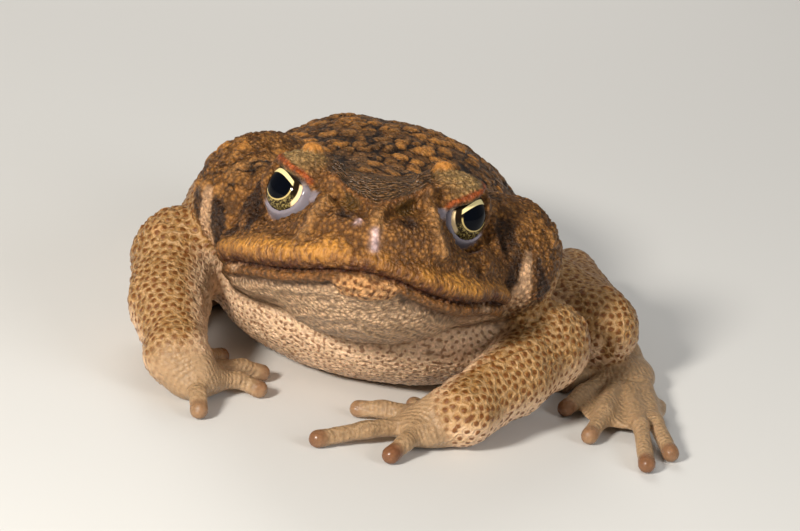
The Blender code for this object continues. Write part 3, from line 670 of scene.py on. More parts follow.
# Fine ridges of the head, as (path, height, width, share of the ridges' colour); their lighter
# colour is partly their own tan and partly a painted sheen
HEAD_RIDGES = [
    ([(-10.2, -38.0, 14.2), (-12.7, -40.8, 9.9), (-14.3, -41.5, 6.8)], 1.3, 1.3, 0.9),
    ([(-9.2, -32.5, 19.0), (-10.2, -38.0, 14.2)], 1.1, 1.3, 0.3),
    ([(10.8, -37.8, 14.0), (12.6, -41.4, 9.3), (14.2, -41.4, 6.6)], 1.3, 1.3, 0.9),
    ([(9.9, -32.5, 19.0), (10.8, -37.8, 14.0)], 1.1, 1.3, 0.3),
    ([(0.4, -44.4, 13.1), (0.2, -46.6, 9.8), (0.0, -47.8, 6.0)], 0.35, 0.7, 0.6),
    ([(-31.1, -1.4, 19.8), (-29.1, -1.2, 21.0), (-26.7, -1.6, 22.0), (-24.3, -3.0, 22.4)],
     0.9, 1.5, 0.7),
    ([(24.6, -10.0, 20.0), (27.2, -10.5, 16.3), (28.8, -12.0, 12.6)], 0.6, 2.0, 0.6),
]
# Folds in the head's frame and in the body's, as (path, depth, width)
HEAD_FOLDS = [
    ([(29.2, -21, -0.8), (29.0, -17, -4.0), (25.0, -20, -6.6), (17.5, -26, -7.8)], 0.9, 0.7),
    ([(-28.5, -20, -0.6), (-29.5, -15, -3.0), (-25.5, -16, -6.0), (-20, -22, -7.0)], 0.9, 0.7),
    ([(24.5, -25.0, 8.0), (23.0, -28.5, 4.8)], 0.5, 0.6),
    ([(-24.5, -25.0, 8.0), (-23.0, -28.5, 4.8)], 0.5, 0.6),
    ([(30.6, -14, 12.0), (30.4, -16.5, 5.0), (30.0, -18.5, 1.0)], 0.8, 0.8),
    ([(-30.6, -12, 10.0), (-31.4, -11, 5.0), (-30.8, -13, 1.0)], 0.8, 0.8),
]
BODY_FOLDS = [
    ([(44, 2, 23.0), (37, -6, 20.5), (30, -12, 17.5), (24, -15, 14.0)], 0.9, 0.8),
    ([(46, 22, 26.0), (47, 22, 18.0), (48, 21, 10.0)], 1.0, 1.0),
    ([(-33, -13, 22.0), (-31, -9, 16.0), (-34, -5, 9.0)], 0.7, 0.8),
    ([(-38, -14, 15.0), (-33, -16, 17.0), (-30, -13, 19.0)], 0.5, 0.6),
    ([(-24, -12, 20.0), (-14, -20, 15.5), (0, -24, 13.0), (12, -22, 13.0)], 0.6, 0.9),
    ([(-26, -9, 15.5), (-12, -17, 12.0), (2, -20, 10.0)], 0.45, 0.8),
    ([(14, -18, 17.0), (22, -14, 12.5), (27, -10, 9.0)], 0.6, 0.8),
]
# Where the head and neck are nearly black: dark stripes and a dark spot of the skin itself, and
# painted shade in the nostrils and in the hollows behind the eyes; and where the skin is pale
DARK_HEAD = both([Ball((6.4, -44.4, 11.4), (1.8, 1.8, 1.0))]) + [
    Ball((27.6, -11.0, 12.0), (3.0, 4.5, 7.0)),
    Rod((-26.2, -14.5, 16.8, 1.6), (-25.0, -16.5, 11.7, 2.0), (-26.0, -21.0, 8.6, 1.4)),
    Rod((-27.6, -11.0, 14.5, 2.4), (-28.4, -10.0, 7.0, 2.6)),
    Ball((3.8, -8.4, 22.8), (1.2, 0.7, 1.0)),
    Rod((32.2, -12.3, 10.8, 0.4), (31.2, -13.3, 6.0, 1.3), (30.6, -14.0, 2.6, 1.3)),
    Rod((36.4, -9.5, 9.4, 0.4), (37.5, -8.5, 5.2, 1.0), (39.0, -5.6, 1.4, 2.4)),
    Ball((-33.5, -2.0, 8.0), (1.9, 3.0, 6.0)),
    Ball((-38.5, 2.0, 9.0), (1.7, 3.6, 7.0)),
]
PALE_HEAD = [
    Rod((33.9, -11.3, 10.8, 0.3), (34.0, -11.8, 6.0, 1.2), (33.4, -10.2, 0.4, 2.4)),
    Rod((-36.3, -0.8, 15.5, 0.9), (-36.3, 0.4, 9.9, 1.5), (-35.0, 2.0, 5.0, 1.9)),
    # The two small balls at the mouth's corners are painted highlights
    Ball((-27.0, -20.4, -1.4), (1.4, 2.2, 0.3)),
    Ball((24.6, -25.4, -3.1), (1.3, 2.2, 0.3)),
]


def spread(points, spacing, seed):
    """Places spread evenly over a surface's points, none nearer another than this spacing."""
    chance = np.random.default_rng(seed)
    few = points[chance.permutation(len(points))[:SPREAD_POINTS]]
    cells, places = {}, []
    for place, cell in zip(few.tolist(), np.floor(few / spacing).astype(int).tolist()):
        around = [
            other for step in AROUND
            for other in cells.get((cell[0] + step[0], cell[1] + step[1], cell[2] + step[2]), ())
        ]
        if all(math.dist(place, other) > spacing for other in around):
            cells.setdefault(tuple(cell), []).append(place)
            places.append(place)
    places = np.array(places)
    for _ in range(3):
        tree = tree_of(places)
        owner = np.array([tree.find(place)[1] for place in few])
        count = np.maximum(np.bincount(owner, minlength=len(places)), 1)
        middle = [np.bincount(owner, few[:, axis], len(places)) / count for axis in range(3)]
        places = np.stack(middle, axis=1)
    return places


def tree_of(points):
    tree = KDTree(len(points))
    for number, point in enumerate(points):
        tree.insert(point, number)
    tree.balance()
    return tree


def cells_on(points, where, spacing, seed):
    """Each chosen point's distance from its cell's middle and from its edge, in millimetres."""
    first, edge = np.full(len(points), 9.0), np.full(len(points), 9.0)
    chosen = np.nonzero(where)[0]
    tree = tree_of(spread(points[chosen], spacing, seed))
    for number in chosen:
        (_, _, near), (_, _, next_near) = tree.find_n(points[number], 2)
        first[number], edge[number] = near, next_near - near
    return first, edge


def path_distance(points, path):
    return flesh(points, [Rod(*[(*place, 0.0) for place in path])], 0.01)


def swell(value, middle, width):
    """1 at the middle, fading to 0 on both sides over this width."""
    return np.exp(-((value - middle) / width) ** 2)


def crease(points, path, depth, width):
    """A fold along a path: a groove between two low swells."""
    away = path_distance(points, path)
    return -depth * swell(away, 0.0, width) + 0.45 * depth * swell(away, 2.1 * width, width)


def dome_at(points, place, radius):
    """The height share of a round dome at this place, and how many radii away each point is."""
    away = away_from(points, place) / radius
    return np.sqrt(np.clip(1.0 - away**2, 0.0, 1.0)), away


# Relief and markings. Each function below reads where the points lie, adds to the skin's height
# in millimetres and notes shares, from 0 to 1, that the skin's material is coloured by. The last
# number in a call of noise, cobbles or cells_on is its seed.


def zones(points, outward):
    """Where the points lie: their places in the head's own frame, the way they face, and how
    much each belongs to a limb, a foot, a gland, the skull, the jaw, the back and the chest."""
    at = SimpleNamespace(points=points, outward=outward, local=to_head(points))
    at.x, at.y, at.z = at.local.T
    at.side = np.abs(at.x)
    at.above = at.z - mouth_height(at.x)
    at.up, at.forward = outward[:, 2], -outward[:, 1]
    at.wander = np.stack([noise(points, 5.0, seed) for seed in (1, 2, 3)], axis=1)

    parts = body_parts(points)
    trunk = np.minimum(parts["torso"], parts["head"])
    leg = parts["leg"] + 6.0 * rise(points[:, 2], 23.0, 30.0)
    nearest = np.minimum(trunk, np.minimum(parts["arm"], parts["leg"]))
    at.foot = rise(nearest - parts["foot"], -0.6, 1.4)
    at.limb = np.maximum(rise(trunk - np.minimum(parts["arm"], leg), -0.5, 2.5), at.foot)
    at.gland = rise(trunk - parts["gland"], -1.5, 2.0)
    at.head = rise(np.minimum(parts["torso"], parts["gland"]) - parts["head"], -2.0, 2.0)
    at.head *= 1.0 - at.limb
    at.skull = at.head * rise(at.above, -0.2, 0.2)
    at.jaw = at.head * (1.0 - rise(at.above, -0.2, 0.2))

    low = 1.0 - rise(points[:, 2], 22, 30)
    at.chest = rise(at.forward, 0.0, 0.5) * (1.0 - at.head) * low
    at.chest *= (1.0 - at.limb) * (1.0 - at.gland)
    high = rise(points[:, 2], 16, 26)
    at.back = rise(at.up, -0.5, 0.05) * (1.0 - at.limb) * high * (1.0 - at.jaw)
    at.back *= np.maximum(rise(at.y, -10, -3), 1.0 - at.head) * (1.0 - at.chest)
    at.body_low = (1.0 - at.back) * (1.0 - at.limb) * (1.0 - at.skull)
    return at


def hide(at):
    """The cobbled back, the large warts, the fine grain, and the cells that hold the spots."""
    points, limb, gland = at.points, at.limb, at.gland
    _, at.edge, at.kind = cobbles(points * (1, 1, 1.15) + 0.9 * at.wander, COBBLE_SIZE, 21)
    cobble = rise(at.edge, 0.0, 0.3) * (0.4 + 0.6 * at.kind)
    _, grain_edge, _ = cobbles(points + 0.3 * at.wander, GRAIN_SIZE, 22)
    grain = rise(grain_edge, 0.02, 0.4)

    rough = (1.0 - at.foot) * (1.0 - 0.6 * at.jaw)
    fine = (at.body_low * (1.0 - rise(points[:, 1], 20, 30)) > 0.5) | (at.jaw > 0.5)
    coarse = ~fine & (limb + at.body_low > 0.3)
    spot_first, spot_edge = cells_on(points, coarse, SPOT_SPACING, 41)
    dot_first, dot_edge = cells_on(points, fine, DOT_SPACING, 42)
    at.cell_first = np.minimum(spot_first, dot_first * 1.3)
    at.cell_edge = np.minimum(spot_edge, dot_edge * 1.3)
    height = 0.72 * (cobble - 0.4) * at.back * (1.0 - 0.45 * gland)
    raised = 1.0 - np.minimum(at.cell_first, 1.0)
    height += 0.16 * raised * (limb + at.body_low) * (1.0 - at.foot)
    height += (0.2 + 0.25 * gland) * (grain - 0.5) * rough
    height += (0.1 * noise(points, 1.6, 5) + 0.22 * noise(points, 4.5, 6)) * rough

    at.wart = 0.85 * at.back * rise(cobble, 0.5, 0.9)
    for place, radius in wart_sites():
        dome, away = dome_at(points, place, radius)
        height = np.where(away < 1.25, height * rise(away, 0.7, 1.25), height)
        height += 0.32 * radius * dome
        at.wart = np.maximum(at.wart, rise(dome, 0.3, 0.75))
    at.amber = 0.75 * at.wart * rise(at.kind, 0.78, 0.9)
    for place, radius in BROW_WARTS:
        dome, away = dome_at(at.local * (1.0, 1.0, 0.5), place, radius)
        height = np.where(away < 1.2, height * rise(away, 0.8, 1.2), height) + 0.85 * radius * dome
        at.wart = np.maximum(at.wart, rise(dome, 0.3, 0.75))
        at.amber = np.maximum(at.amber, rise(dome, 0.1, 0.4))
    at.height = height


def mouth(at):
    """A golden upper lip with a dark lower edge, a thin lower roll and a fine line of painted
    shade between, and more painted shade in the groove under the roll.
    """
    above, side = at.above, at.side
    front = rise(-at.y, 8.0, 14.0) * at.head
    lip_top = np.interp(at.x, *LIP_TOP)
    at.height += 0.95 * swell(above, 0.5 * lip_top, 0.45 * lip_top) * front
    at.height -= 0.55 * swell(above - lip_top, 1.6, 1.5) * front * rise(side, 4.0, 8.0)
    at.height -= 0.8 * swell(above, -0.05, 0.4) * front
    at.height += 0.4 * swell(above, -1.3, 0.8) * front
    off_chin = rise(np.abs(at.x + 0.4), 6.0, 8.5)
    at.height -= 0.8 * swell(above, -3.1, 0.7) * front * off_chin

    ragged = lip_top + 1.3 * at.wander[:, 0] + 1.0 * noise(at.points, 1.3, 31)
    at.lip = 1.3 * (rise(above, 0.6, 2.2) * (1.0 - rise(above - ragged, -2.8, 0.8))) ** 0.8 * front
    dark_width = 1.1 + 0.25 * at.wander[:, 1] + 0.7 * band(at.x, -9.0, 15.0, 4.0)
    lip_dark = swell(above, 1.15, 1.4 * dark_width) * front * rise(above, -0.35, -0.1)
    lip_dark *= 0.85 + 0.5 * noise(at.local * (1.0, 1.0, 0.4), 1.2, 32)
    # Painted shade along the mouth's line, and in the groove under the lower roll off the chin
    seam = swell(above, 0.0, 0.35) + 0.7 * swell(above, -3.1, 0.5) * rise(side, 5, 8)
    at.lip_dark = np.clip(lip_dark + seam * front, 0.0, 1.0)
    at.lower_lip = band(above, -2.6, -0.3, 0.3) * front


def face(at):
    """A ledge along a V between the crown and the snout, the nostrils, ridges and hollows."""
    local, side, skull = at.local, at.side, at.skull
    at.drop = LEDGE_HEIGHT + LEDGE_SLOPE * side - at.z
    front = skull * rise(-at.y, 24, 29) * (1.0 - rise(side, 10.0, 12.5))
    front *= rise(at.forward, -0.2, 0.3)
    at.height += 0.6 * swell(at.drop, -0.3, 0.8) * front
    at.height -= 1.3 * band(at.drop, 1.4, 4.2, 1.0) * front * rise(side, 1.0, 3.0)
    at.lip_edge = swell(at.drop, 0.1, 0.55) * front
    # The nose's middle ridge; its lighter colour is partly its own and partly a painted sheen
    at.ridge = swell(at.x, 0.0, 1.3) * band(at.z, 6.0, 12.5, 1.5) * skull * rise(-at.y, 36, 40)
    at.height += 0.35 * at.ridge
    for sign in (LEFT, RIGHT):
        at.height += 0.5 * swell(away_from(local, NOSTRIL_PLACE, sign), 2.1, 0.7) * skull
        at.height += swell(away_from(local, NASAL_PLACE, sign), 0.0, NASAL_SIZE) * skull
    # Wet places are smoother, and their pale colour is a painted highlight
    at.gloss = np.zeros(len(local))
    for path, width in GLINTS:
        at.gloss = np.maximum(at.gloss, swell(path_distance(local, path), 0.0, width) * skull)
    at.height += 0.4 * at.gloss
    for shape, depth in HEAD_HOLLOWS:
        at.height -= depth * near_any(local, [shape], 3.0) * at.head
    at.height -= 0.7 * near_any(local, BROW_HOLLOWS, 2.4) * at.head
    for path, depth, width, tint in HEAD_RIDGES:
        there = swell(path_distance(local, path), 0.0, width) * (1.0 - at.limb)
        at.height += depth * there
        at.ridge = np.maximum(at.ridge, tint * there)


def folds(at):
    """The folds of head and body, the rows on the throat, the chin's pad and the crown's rings."""
    for path, depth, width in HEAD_FOLDS:
        at.height += crease(at.local, path, depth, width)
    for path, depth, width in BODY_FOLDS:
        at.height += crease(at.points, path, depth, width)

    above, jaw = at.above, at.jaw
    at.throat = jaw * band(above, -26.0, -2.9, 0.4) * rise(-at.y, 4.0, 10.0)
    wave = np.sin(2.0 * math.pi * (above + 0.9 * at.wander[:, 1]) / THROAT_ROW)
    at.height += 0.16 * wave * at.throat
    at.chin = near_any(at.local, [CHIN], 0.8) * jaw * (1.0 - rise(above, -0.9, -0.3))
    around = CHIN.distance(at.local)
    pad = 0.5 * (1.0 - rise(around, -1.5, 0.5)) - 0.9 * swell(around, 0.9, 0.7)
    at.height += pad * jaw * (1.0 - rise(above, -2.6, -1.6))
    at.lower_lip *= 1.0 - at.chin

    # The crown's rings are pointed at the snout and straighten toward the neck
    at.crown = at.skull * rise(-at.drop, -0.1, 0.5) * rise(at.up, 0.3, 0.6)
    at.crown = at.crown * rise(-at.y, -4.0, 5.0) * (1.0 - rise(at.side, 9.5, 11.5))
    behind = at.y + 42.8
    point = 1.25 * np.sqrt(at.x**2 + 4.0) * np.exp(-np.maximum(behind, 0.0) / 14.0)
    at.crown_phase = behind - point


def lids(at):
    """Granular lids with an orange rim, painted shade under their edge, and a smooth membrane
    below each eye.
    """
    at.rim, at.lid, at.membrane, at.under, by_eye = np.zeros((5, len(at.points)))
    for sign in (LEFT, RIGHT):
        away, ball, far = on_iris(at.local, sign)
        across, upward, depth = ball.T
        outside = opening_edge(across, upward)
        near = (far < 12.0) & (depth > -6.0)
        upper = near * rise(over_lid_edge(across, upward), -0.4, 0.1)
        narrow = 0.6 + 0.3 * at.wander[:, 2]
        rim = upper * band(outside, 0.3, 0.3 + narrow, 0.2) * rise(far, 7.6, 8.1)
        lid = upper * rise(outside, 0.6, 1.2) * (1.0 - rise(far, 9.0, 10.2))
        # Painted shade: a nearly black band in the gap just under the upper lid's edge
        under = upper * (1.0 - rise(outside, 0.1, 0.45)) * (1.0 - rise(far, 7.9, 8.3))
        reach = np.hypot(away[:, 0], away[:, 1]) + 0.08 * away[:, 1]
        membrane = near * (1.0 - upper) * (1.0 - rise(reach, 6.2, 6.9)) * rise(outside, -0.3, 0.0)
        membrane *= rise(front_low(away[:, 0], away[:, 1]), -0.9, 0.5) * rise(away[:, 2], -2, 0)
        at.rim = np.maximum(at.rim, rim)
        at.lid = np.maximum(at.lid, lid)
        at.under = np.maximum(at.under, under)
        at.membrane = np.maximum(at.membrane, membrane)
        by_eye = np.maximum(by_eye, 1.0 - rise(far, 8.6, 10.6))
        at.height *= 1.0 - 0.9 * np.maximum(membrane, under)
        at.height += 0.22 * rim
        at.height -= 0.5 * upper * swell(far, 10.6, 0.9) * rise(-away[:, 1], -9.0, -2.0)
    corner = near_any(at.local, TEAR_CORNERS, 0.7) * (1.0 - at.lid) * (1.0 - at.rim)
    at.membrane = np.maximum(at.membrane, 0.9 * corner)
    _, granule_edge, _ = cobbles(at.points, GRANULE_SIZE, 24)
    granules = rise(granule_edge, 0.0, 0.4) - 0.5
    at.lid *= 1.0 - at.amber
    lip_share = np.clip(at.lip, 0.0, 1.0)
    bare = 0.26 * at.skull * (1.0 - lip_share) * (1.0 - by_eye)
    at.height += granules * (0.45 * at.lid + bare)


def digits(at):
    """Rounded tips, knuckles and rings along each finger and toe."""
    at.tip = np.zeros(len(at.points))
    at.rings = np.full(len(at.points), FAR)
    for limb in LIMBS.values():
        for shape in limb["fingers"] + limb["toes"]:
            _, knuckle, end = shape.stations[:, :3]
            away = away_from(at.points, end)
            at.rings = np.minimum(at.rings, away)
            at.tip = np.maximum(at.tip, 1.0 - rise(away + 0.6 * at.wander[:, 0], 1.2, 3.0))
            at.height += 0.25 * swell(away, 0.0, 1.5)
            at.height += 0.4 * swell(away_from(at.points, knuckle), 1.0, 1.6) * at.foot
    at.height -= 0.12 * swell(at.rings, 3.4, 0.6)


def markings(at):
    """Each marking's share at every point, as the skin's material reads it. Those that aren't
    listed here, such as the lips and the lids, are read as the functions above left them."""
    points, limb, back, wander = at.points, at.limb, at.back, at.wander
    phase = np.where(at.foot > 0.02, at.rings, points[:, 2] - 0.35 * np.abs(points[:, 0]))
    phase = np.where(at.jaw > 0.5, at.above, phase) + 1.4 * wander[:, 2] * at.foot
    phase = np.where(at.crown > 0.02, at.crown_phase, phase)
    phase = phase + 0.5 * wander[:, 0] + 0.3 * wander[:, 1]
    down = rise(-at.up, -0.25, 0.45)
    inner = rise(-np.sign(points[:, 0]) * at.outward[:, 0], 0.25, 0.8) * limb * 0.8
    pale = np.maximum(down * (1.0 - at.head) * (1.0 - at.gland), at.chest)
    pale = np.maximum(pale, inner)
    on_limb = limb * (1.0 - at.foot) * (1.0 - 0.5 * inner)
    # Dark stripes and a spot of the skin, with painted shade in the nostrils, in the hollows
    # behind the eyes and in the hollows beside the lid domes
    dark = near_any(at.local + 0.8 * wander, DARK_HEAD, 1.6)
    dark = np.maximum(dark, 0.6 * near_any(at.local, BROW_HOLLOWS, 2.6))
    dry_face = at.skull * (1.0 - at.crown) * rise(-at.y, 0.0, 8.0)
    wavy = at.crown + 0.14 * at.foot * (1.0 - at.tip) + 0.3 * at.throat + 0.1 * at.chest
    grainy = 1.0 - 0.6 * limb - 0.6 * pale - 0.5 * at.lip - 0.6 * at.amber
    return vars(at) | {
        "limb": limb * (1.0 - inner),
        "pale": pale,
        "spots": np.maximum(on_limb, 0.8 * at.body_low * (1.0 - at.jaw)),
        "first": at.cell_first,
        "edge": at.cell_edge,
        "gland": at.gland * (1.0 - limb),
        # Painted shade in the hollows under the V's ledge
        "facet": near_any(at.local, BRIDGE_HOLLOWS, 1.6) * (1.0 - at.crown),
        "gloss": 0.8 * at.gloss,
        "slate": 0.55 * back * rise(noise(points, 8.0, 61), 0.2, 0.5) * (1.0 - 0.6 * at.gland),
        "wart": np.clip(at.wart, 0.0, 1.0),
        "kind": at.kind * back,
        # Painted shade in the creases between the back's cobbles
        "crease": np.where(back > 0.02, at.edge, 1.0) + (1.0 - back) * 0.3 + 0.06 * at.gland,
        "dark": dark * (1.0 - limb),
        # Pale stripes of the skin, and painted highlights at the mouth's corners
        "stripe": near_any(at.local + 0.6 * wander, PALE_HEAD, 0.8) * (1.0 - limb),
        "face": dry_face * (1.0 - np.maximum(at.membrane, at.under)),
        "phase": phase,
        "waves": np.clip(wavy, 0.0, 1.0),
        "grainy": np.clip(grainy, 0.15, 1.0) * (1.0 - at.membrane),
    }


def relief_and_marks(points, outward):
    """How far the skin stands out at each point, and how much of each marking it has."""
    at = zones(points, outward)
    for step in (hide, mouth, face, folds, lids, digits):
        step(at)
    return at.height, markings(at)


def new_object(name, data):
    """A new object in the scene that shows this mesh, lamp or camera."""
    thing = bpy.data.objects.new(name, data)
    bpy.context.scene.collection.objects.link(thing)
    return thing


def new_mesh(name, form, **settings):
    """A new mesh with one of bmesh's own forms."""
    work = bmesh.new()
    form(work, **settings)
    mesh = bpy.data.meshes.new(name)
    work.to_mesh(mesh)
    work.free()
    return mesh


def new_piece(name, mesh, material):
    """A finished piece at the origin, riding on the one body, with its finish."""
    thing = new_object(name, mesh)
    mesh.materials.clear()
    mesh.materials.append(material)
    mesh.shade_smooth()
    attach(thing, "root")
    return thing


def frame_shift():
    """What the row's frame adds to the toad's own, in millimetres, found from one eye's box."""
    low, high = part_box("eye_left")
    middle = 0.5 * (np.array(low) + np.array(high)) / MM
    return middle - from_head(EYE_PLACE)


# Finishes


def add(tree, kind, settings=None, inputs=None, out=0):
    """Add a node and give back one of its outputs. An input is a number, a colour or an output
    of another node."""
    node = tree.nodes.new("ShaderNode" + kind)
    for name, value in (settings or {}).items():
        setattr(node, name, value)
    for key, value in (inputs or {}).items():
        if isinstance(value, bpy.types.NodeSocket):
            tree.links.new(value, node.inputs[key])
        else:
            node.inputs[key].default_value = value
    return node.outputs[out] if node.outputs else None


def empty_material(name):
    made = bpy.data.materials.new(name)
    made.use_nodes = True
    made.node_tree.nodes.clear()
    return made, made.node_tree


def opaque(colour):
    return (*colour, 1.0)


# Settings of nodes that are used again and again
SMOOTH = {"interpolation_type": "SMOOTHSTEP"}
COLOURS = {"data_type": "RGBA"}
TIMES = {"operation": "MULTIPLY"}
TIMES_PLUS = {"operation": "MULTIPLY_ADD"}
LARGER = {"operation": "MAXIMUM"}
CLAMPED = {"use_clamp": True}

# How many swells of each pattern lie along a millimetre of skin, and the width of the fine rings
MOTTLES_PER_MM = 0.42
FLECKS_PER_MM = 1.9
STREAKS_PER_MM = 1.1
WRINKLES_PER_MM = 1.0
PORES_PER_MM = 1.0
RING_SPACING = 1.15

MARK_NAMES = (
    "limb", "pale", "spots", "wart", "kind", "crease", "dark", "stripe", "crown", "face", "ridge",
    "lip", "lip_dark", "lower_lip", "chin", "throat", "rim", "lid", "under", "membrane", "tip",
    "foot", "phase", "waves", "grainy", "first", "edge", "gland", "facet", "lip_edge", "gloss",
    "amber", "slate",
)
# The skin's colours, each laid over the last, as (marking, colour or setting, pattern). Some are
# painted light: a sheen on the ridges and granule tops, highlights on wet places and the mouth's
# corners, and shade under the lids, in the creases, facets, hollows and along the mouth
SKIN_LAYERS = (
    ("gland", "#6A431C", "patchy"), ("limb", "#9A7140", "patchy"), ("kind", "#8A5A26", "patchy"),
    ("wart", "wart", "patchy"), ("slate", "#4A3F35", "patchy"), ("face", "#73491F", "patchy"),
    ("gland", "#AD7A3E", "golden"), ("face", "#AD7A3E", "golden"), ("facet", "#64471F", "patchy"),
    ("crown", "#6E4D2A", "patchy"), ("lip_edge", "#8E5A2C", "patchy"), ("pale", "belly", "patchy"),
    ("throat", "#C9A480", "patchy"), ("chin", "#CC955F", "patchy"), ("foot", "#A08261", "patchy"),
    ("ridge", "#B07E49", "patchy"), ("lip", "lip", "streaky"), ("lower_lip", "#8A5A2C", "streaky"),
    ("lip_dark", "#42190A", "patchy"), ("lid", "#A68453", "patchy"),
    ("amber", "#BE7E38", "patchy"), ("rim", "#A34E1E", None), ("under", "#1A130C", None),
    ("crease", "#20130A", None), ("dark", "#2C180A", "patchy"), ("stripe", "#D0A47C", "patchy"),
    ("gloss", "#C9AFB2", None), ("membrane", "#7E757B", None),
)
# The skin's finest relief, as (pattern, marking, height in millimetres)
FINE_RELIEF = (
    ("crease", "kind", -0.35), ("granule", "grainy", 0.55), ("net", "spotty", 0.2),
    ("dot", "spotty", 0.12), ("streaks", "lip", 0.5), ("streaks", "face", 0.6),
    ("granule", "throat", 0.3), ("wrinkles", "pale", 0.6), ("fine", "grainy", 0.6),
)


def toad_skin(settings):
    """Living toad skin: a matt, pebbled hide with a faint film of damp that glints on its tops.
    Light goes about half a millimetre in, which softens the shadows between the granules. The
    colour also holds painted light on the granules' tops and painted shade between them."""
    made, tree = empty_material("toad_skin")
    place = add(tree, "TexCoord", out="Object")
    mm = add(tree, "VectorMath", {"operation": "SCALE"}, {0: place, "Scale": 1.0 / MM})
    head_turn = Matrix(HEAD_AXES.T.tolist()).to_euler()
    head = add(tree, "Mapping", None, {"Vector": mm, "Rotation": head_turn})
    tall = add(tree, "VectorMath", TIMES, {0: head, 1: (1.0, 1.0, 0.4)})
    wide = add(tree, "VectorMath", TIMES, {0: head, 1: (0.2, 1.0, 1.0)})

    # What each pattern and each marking says at a place
    share = {}
    for name, vector, scale, detail, roughness in (
        ("mottle", mm, MOTTLES_PER_MM, 4.0, 0.6), ("fine", mm, FLECKS_PER_MM, 4.0, 0.65),
        ("streaks", tall, STREAKS_PER_MM, 3.0, 0.5), ("wrinkles", wide, WRINKLES_PER_MM, 3.0, 0.5),
    ):
        share[name] = add(tree, "TexNoise", None, {
            "Vector": vector, "Scale": scale, "Detail": detail, "Roughness": roughness,
        })
    share["grains"] = add(tree, "TexVoronoi", {"feature": "F1"}, {
        "Vector": mm, "Scale": PORES_PER_MM})
    for name in MARK_NAMES:
        share[name] = add(tree, "Attribute", {"attribute_name": name}, out="Fac")
    for name, source, start, end, at_start, at_end, kind in (
        ("brown", "mottle", 0.36, 0.64, 0.0, 1.0, SMOOTH),
        ("patchy", "fine", 0.3, 0.7, 0.7, 1.1, None),
        ("streaky", "streaks", 0.35, 0.62, 0.05, 1.05, None),
        # The granules' lighter tops: partly their golden colour, partly a painted sheen
        ("golden", "grains", 0.55, 0.1, 0.0, 0.4, SMOOTH),
        ("granule", "grains", 0.1, 0.75, 0.26, -0.5, None),
        # The back's creases: a groove in the height, and painted shade in the colour
        ("crease", "crease", 0.16, 0.02, 0.0, 1.0, SMOOTH),
        ("dot", "first", 0.78, 0.42, 0.0, 1.0, SMOOTH),
        ("net", "edge", 0.8, 0.1, 0.0, 1.0, SMOOTH),
        ("rough", "mottle", 0.3, 0.7, 0.27, 0.46, None),
    ):
        share[name] = add(tree, "MapRange", kind, {
            "Value": share[source], "From Min": start, "From Max": end,
            "To Min": at_start, "To Max": at_end,
        })
    share["spotty"] = add(tree, "Math", LARGER, {0: share["spots"], 1: share["chin"]})

    base = add(tree, "Mix", COLOURS, {
        0: share["brown"], 6: opaque(settings.back), 7: opaque(settings.mottle)}, 2)
    for name, code, pattern in SKIN_LAYERS:
        colour = linear(code) if code.startswith("#") else getattr(settings, code)
        part = share[name]
        if pattern:
            part = add(tree, "Math", TIMES | CLAMPED, {0: part, 1: share[pattern]})
        base = add(tree, "Mix", COLOURS, {0: part, 6: base, 7: opaque(colour)}, 2)
    for name, mark, colour, amount in (
        ("net", "spots", linear("#CFA97C"), 0.45), ("dot", "spotty", settings.spot, 0.95),
    ):
        part = add(tree, "Math", TIMES, {0: share[name], 1: amount})
        part = add(tree, "Math", TIMES, {0: part, 1: share[mark]})
        base = add(tree, "Mix", COLOURS, {0: part, 6: base, 7: opaque(colour)}, 2)
    base = add(tree, "Mix", COLOURS, {
        0: share["tip"], 6: base, 7: opaque(linear("#6A4028"))}, 2)

    # Fine rings and granules, first as painted light on their tops and painted shade in their
    # hollows, and then in the height
    turn = add(tree, "Math", TIMES, {0: share["phase"], 1: 2.0 * math.pi / RING_SPACING})
    wave = add(tree, "Math", {"operation": "SINE"}, {0: turn})
    wave = add(tree, "Math", TIMES, {0: wave, 1: share["waves"]})
    tone = add(tree, "Math", TIMES_PLUS, {0: share["granule"], 1: share["grainy"], 2: 1.0})
    tone = add(tree, "Math", TIMES_PLUS, {0: wave, 1: 0.42, 2: tone})
    base = add(tree, "VectorMath", {"operation": "SCALE"}, {0: base, "Scale": tone})
    bumps = add(tree, "Math", TIMES, {0: wave, 1: 0.3})
    for name, mark, amount in FINE_RELIEF:
        strength = add(tree, "Math", TIMES, {0: share[mark], 1: amount})
        bumps = add(tree, "Math", TIMES_PLUS, {0: share[name], 1: strength, 2: bumps})

    # The membranes, the digits' tips and the wet places are smooth, so they shine more
    sleek = add(tree, "Math", LARGER, {0: share["membrane"], 1: share["tip"]})
    sleek = add(tree, "Math", LARGER, {0: sleek, 1: share["gloss"]})
    rugged = add(tree, "Math", {"operation": "SUBTRACT"} | CLAMPED, {0: 1.0, 1: sleek})
    bump = add(tree, "Bump", None, {"Strength": rugged, "Distance": MM, "Height": bumps})
    wet = add(tree, "Math", TIMES_PLUS | CLAMPED, {0: sleek, 1: -0.15, 2: share["rough"]})
    shader = add(tree, "BsdfPrincipled", None, {
        "Base Color": base, "Roughness": wet, "Normal": bump,
        "IOR": 1.4, "Subsurface Weight": 0.1, "Subsurface Radius": (1.0, 0.45, 0.2),
        "Subsurface Scale": 0.5 * MM,
    })
    add(tree, "OutputMaterial", None, {"Surface": shader})
    return made


# The pupil's middle and radii in the iris's frame, and how far its length leans
PUPIL_MIDDLE = (-0.75, 0.05)
PUPIL_TILT = math.radians(-15.0)
PUPIL_RADII = (3.3, 2.75)
# The pale bar over the pupil: its height, slope and bend
BAR_HEIGHT, BAR_SLOPE, BAR_BEND = 2.25, 0.5, 0.08
CORNEA_EDGE, CORNEA_BULGE = 3.6, 0.02
# Added to the iris's values behind the ball's middle, so that nothing shows there
BEHIND = 30.0


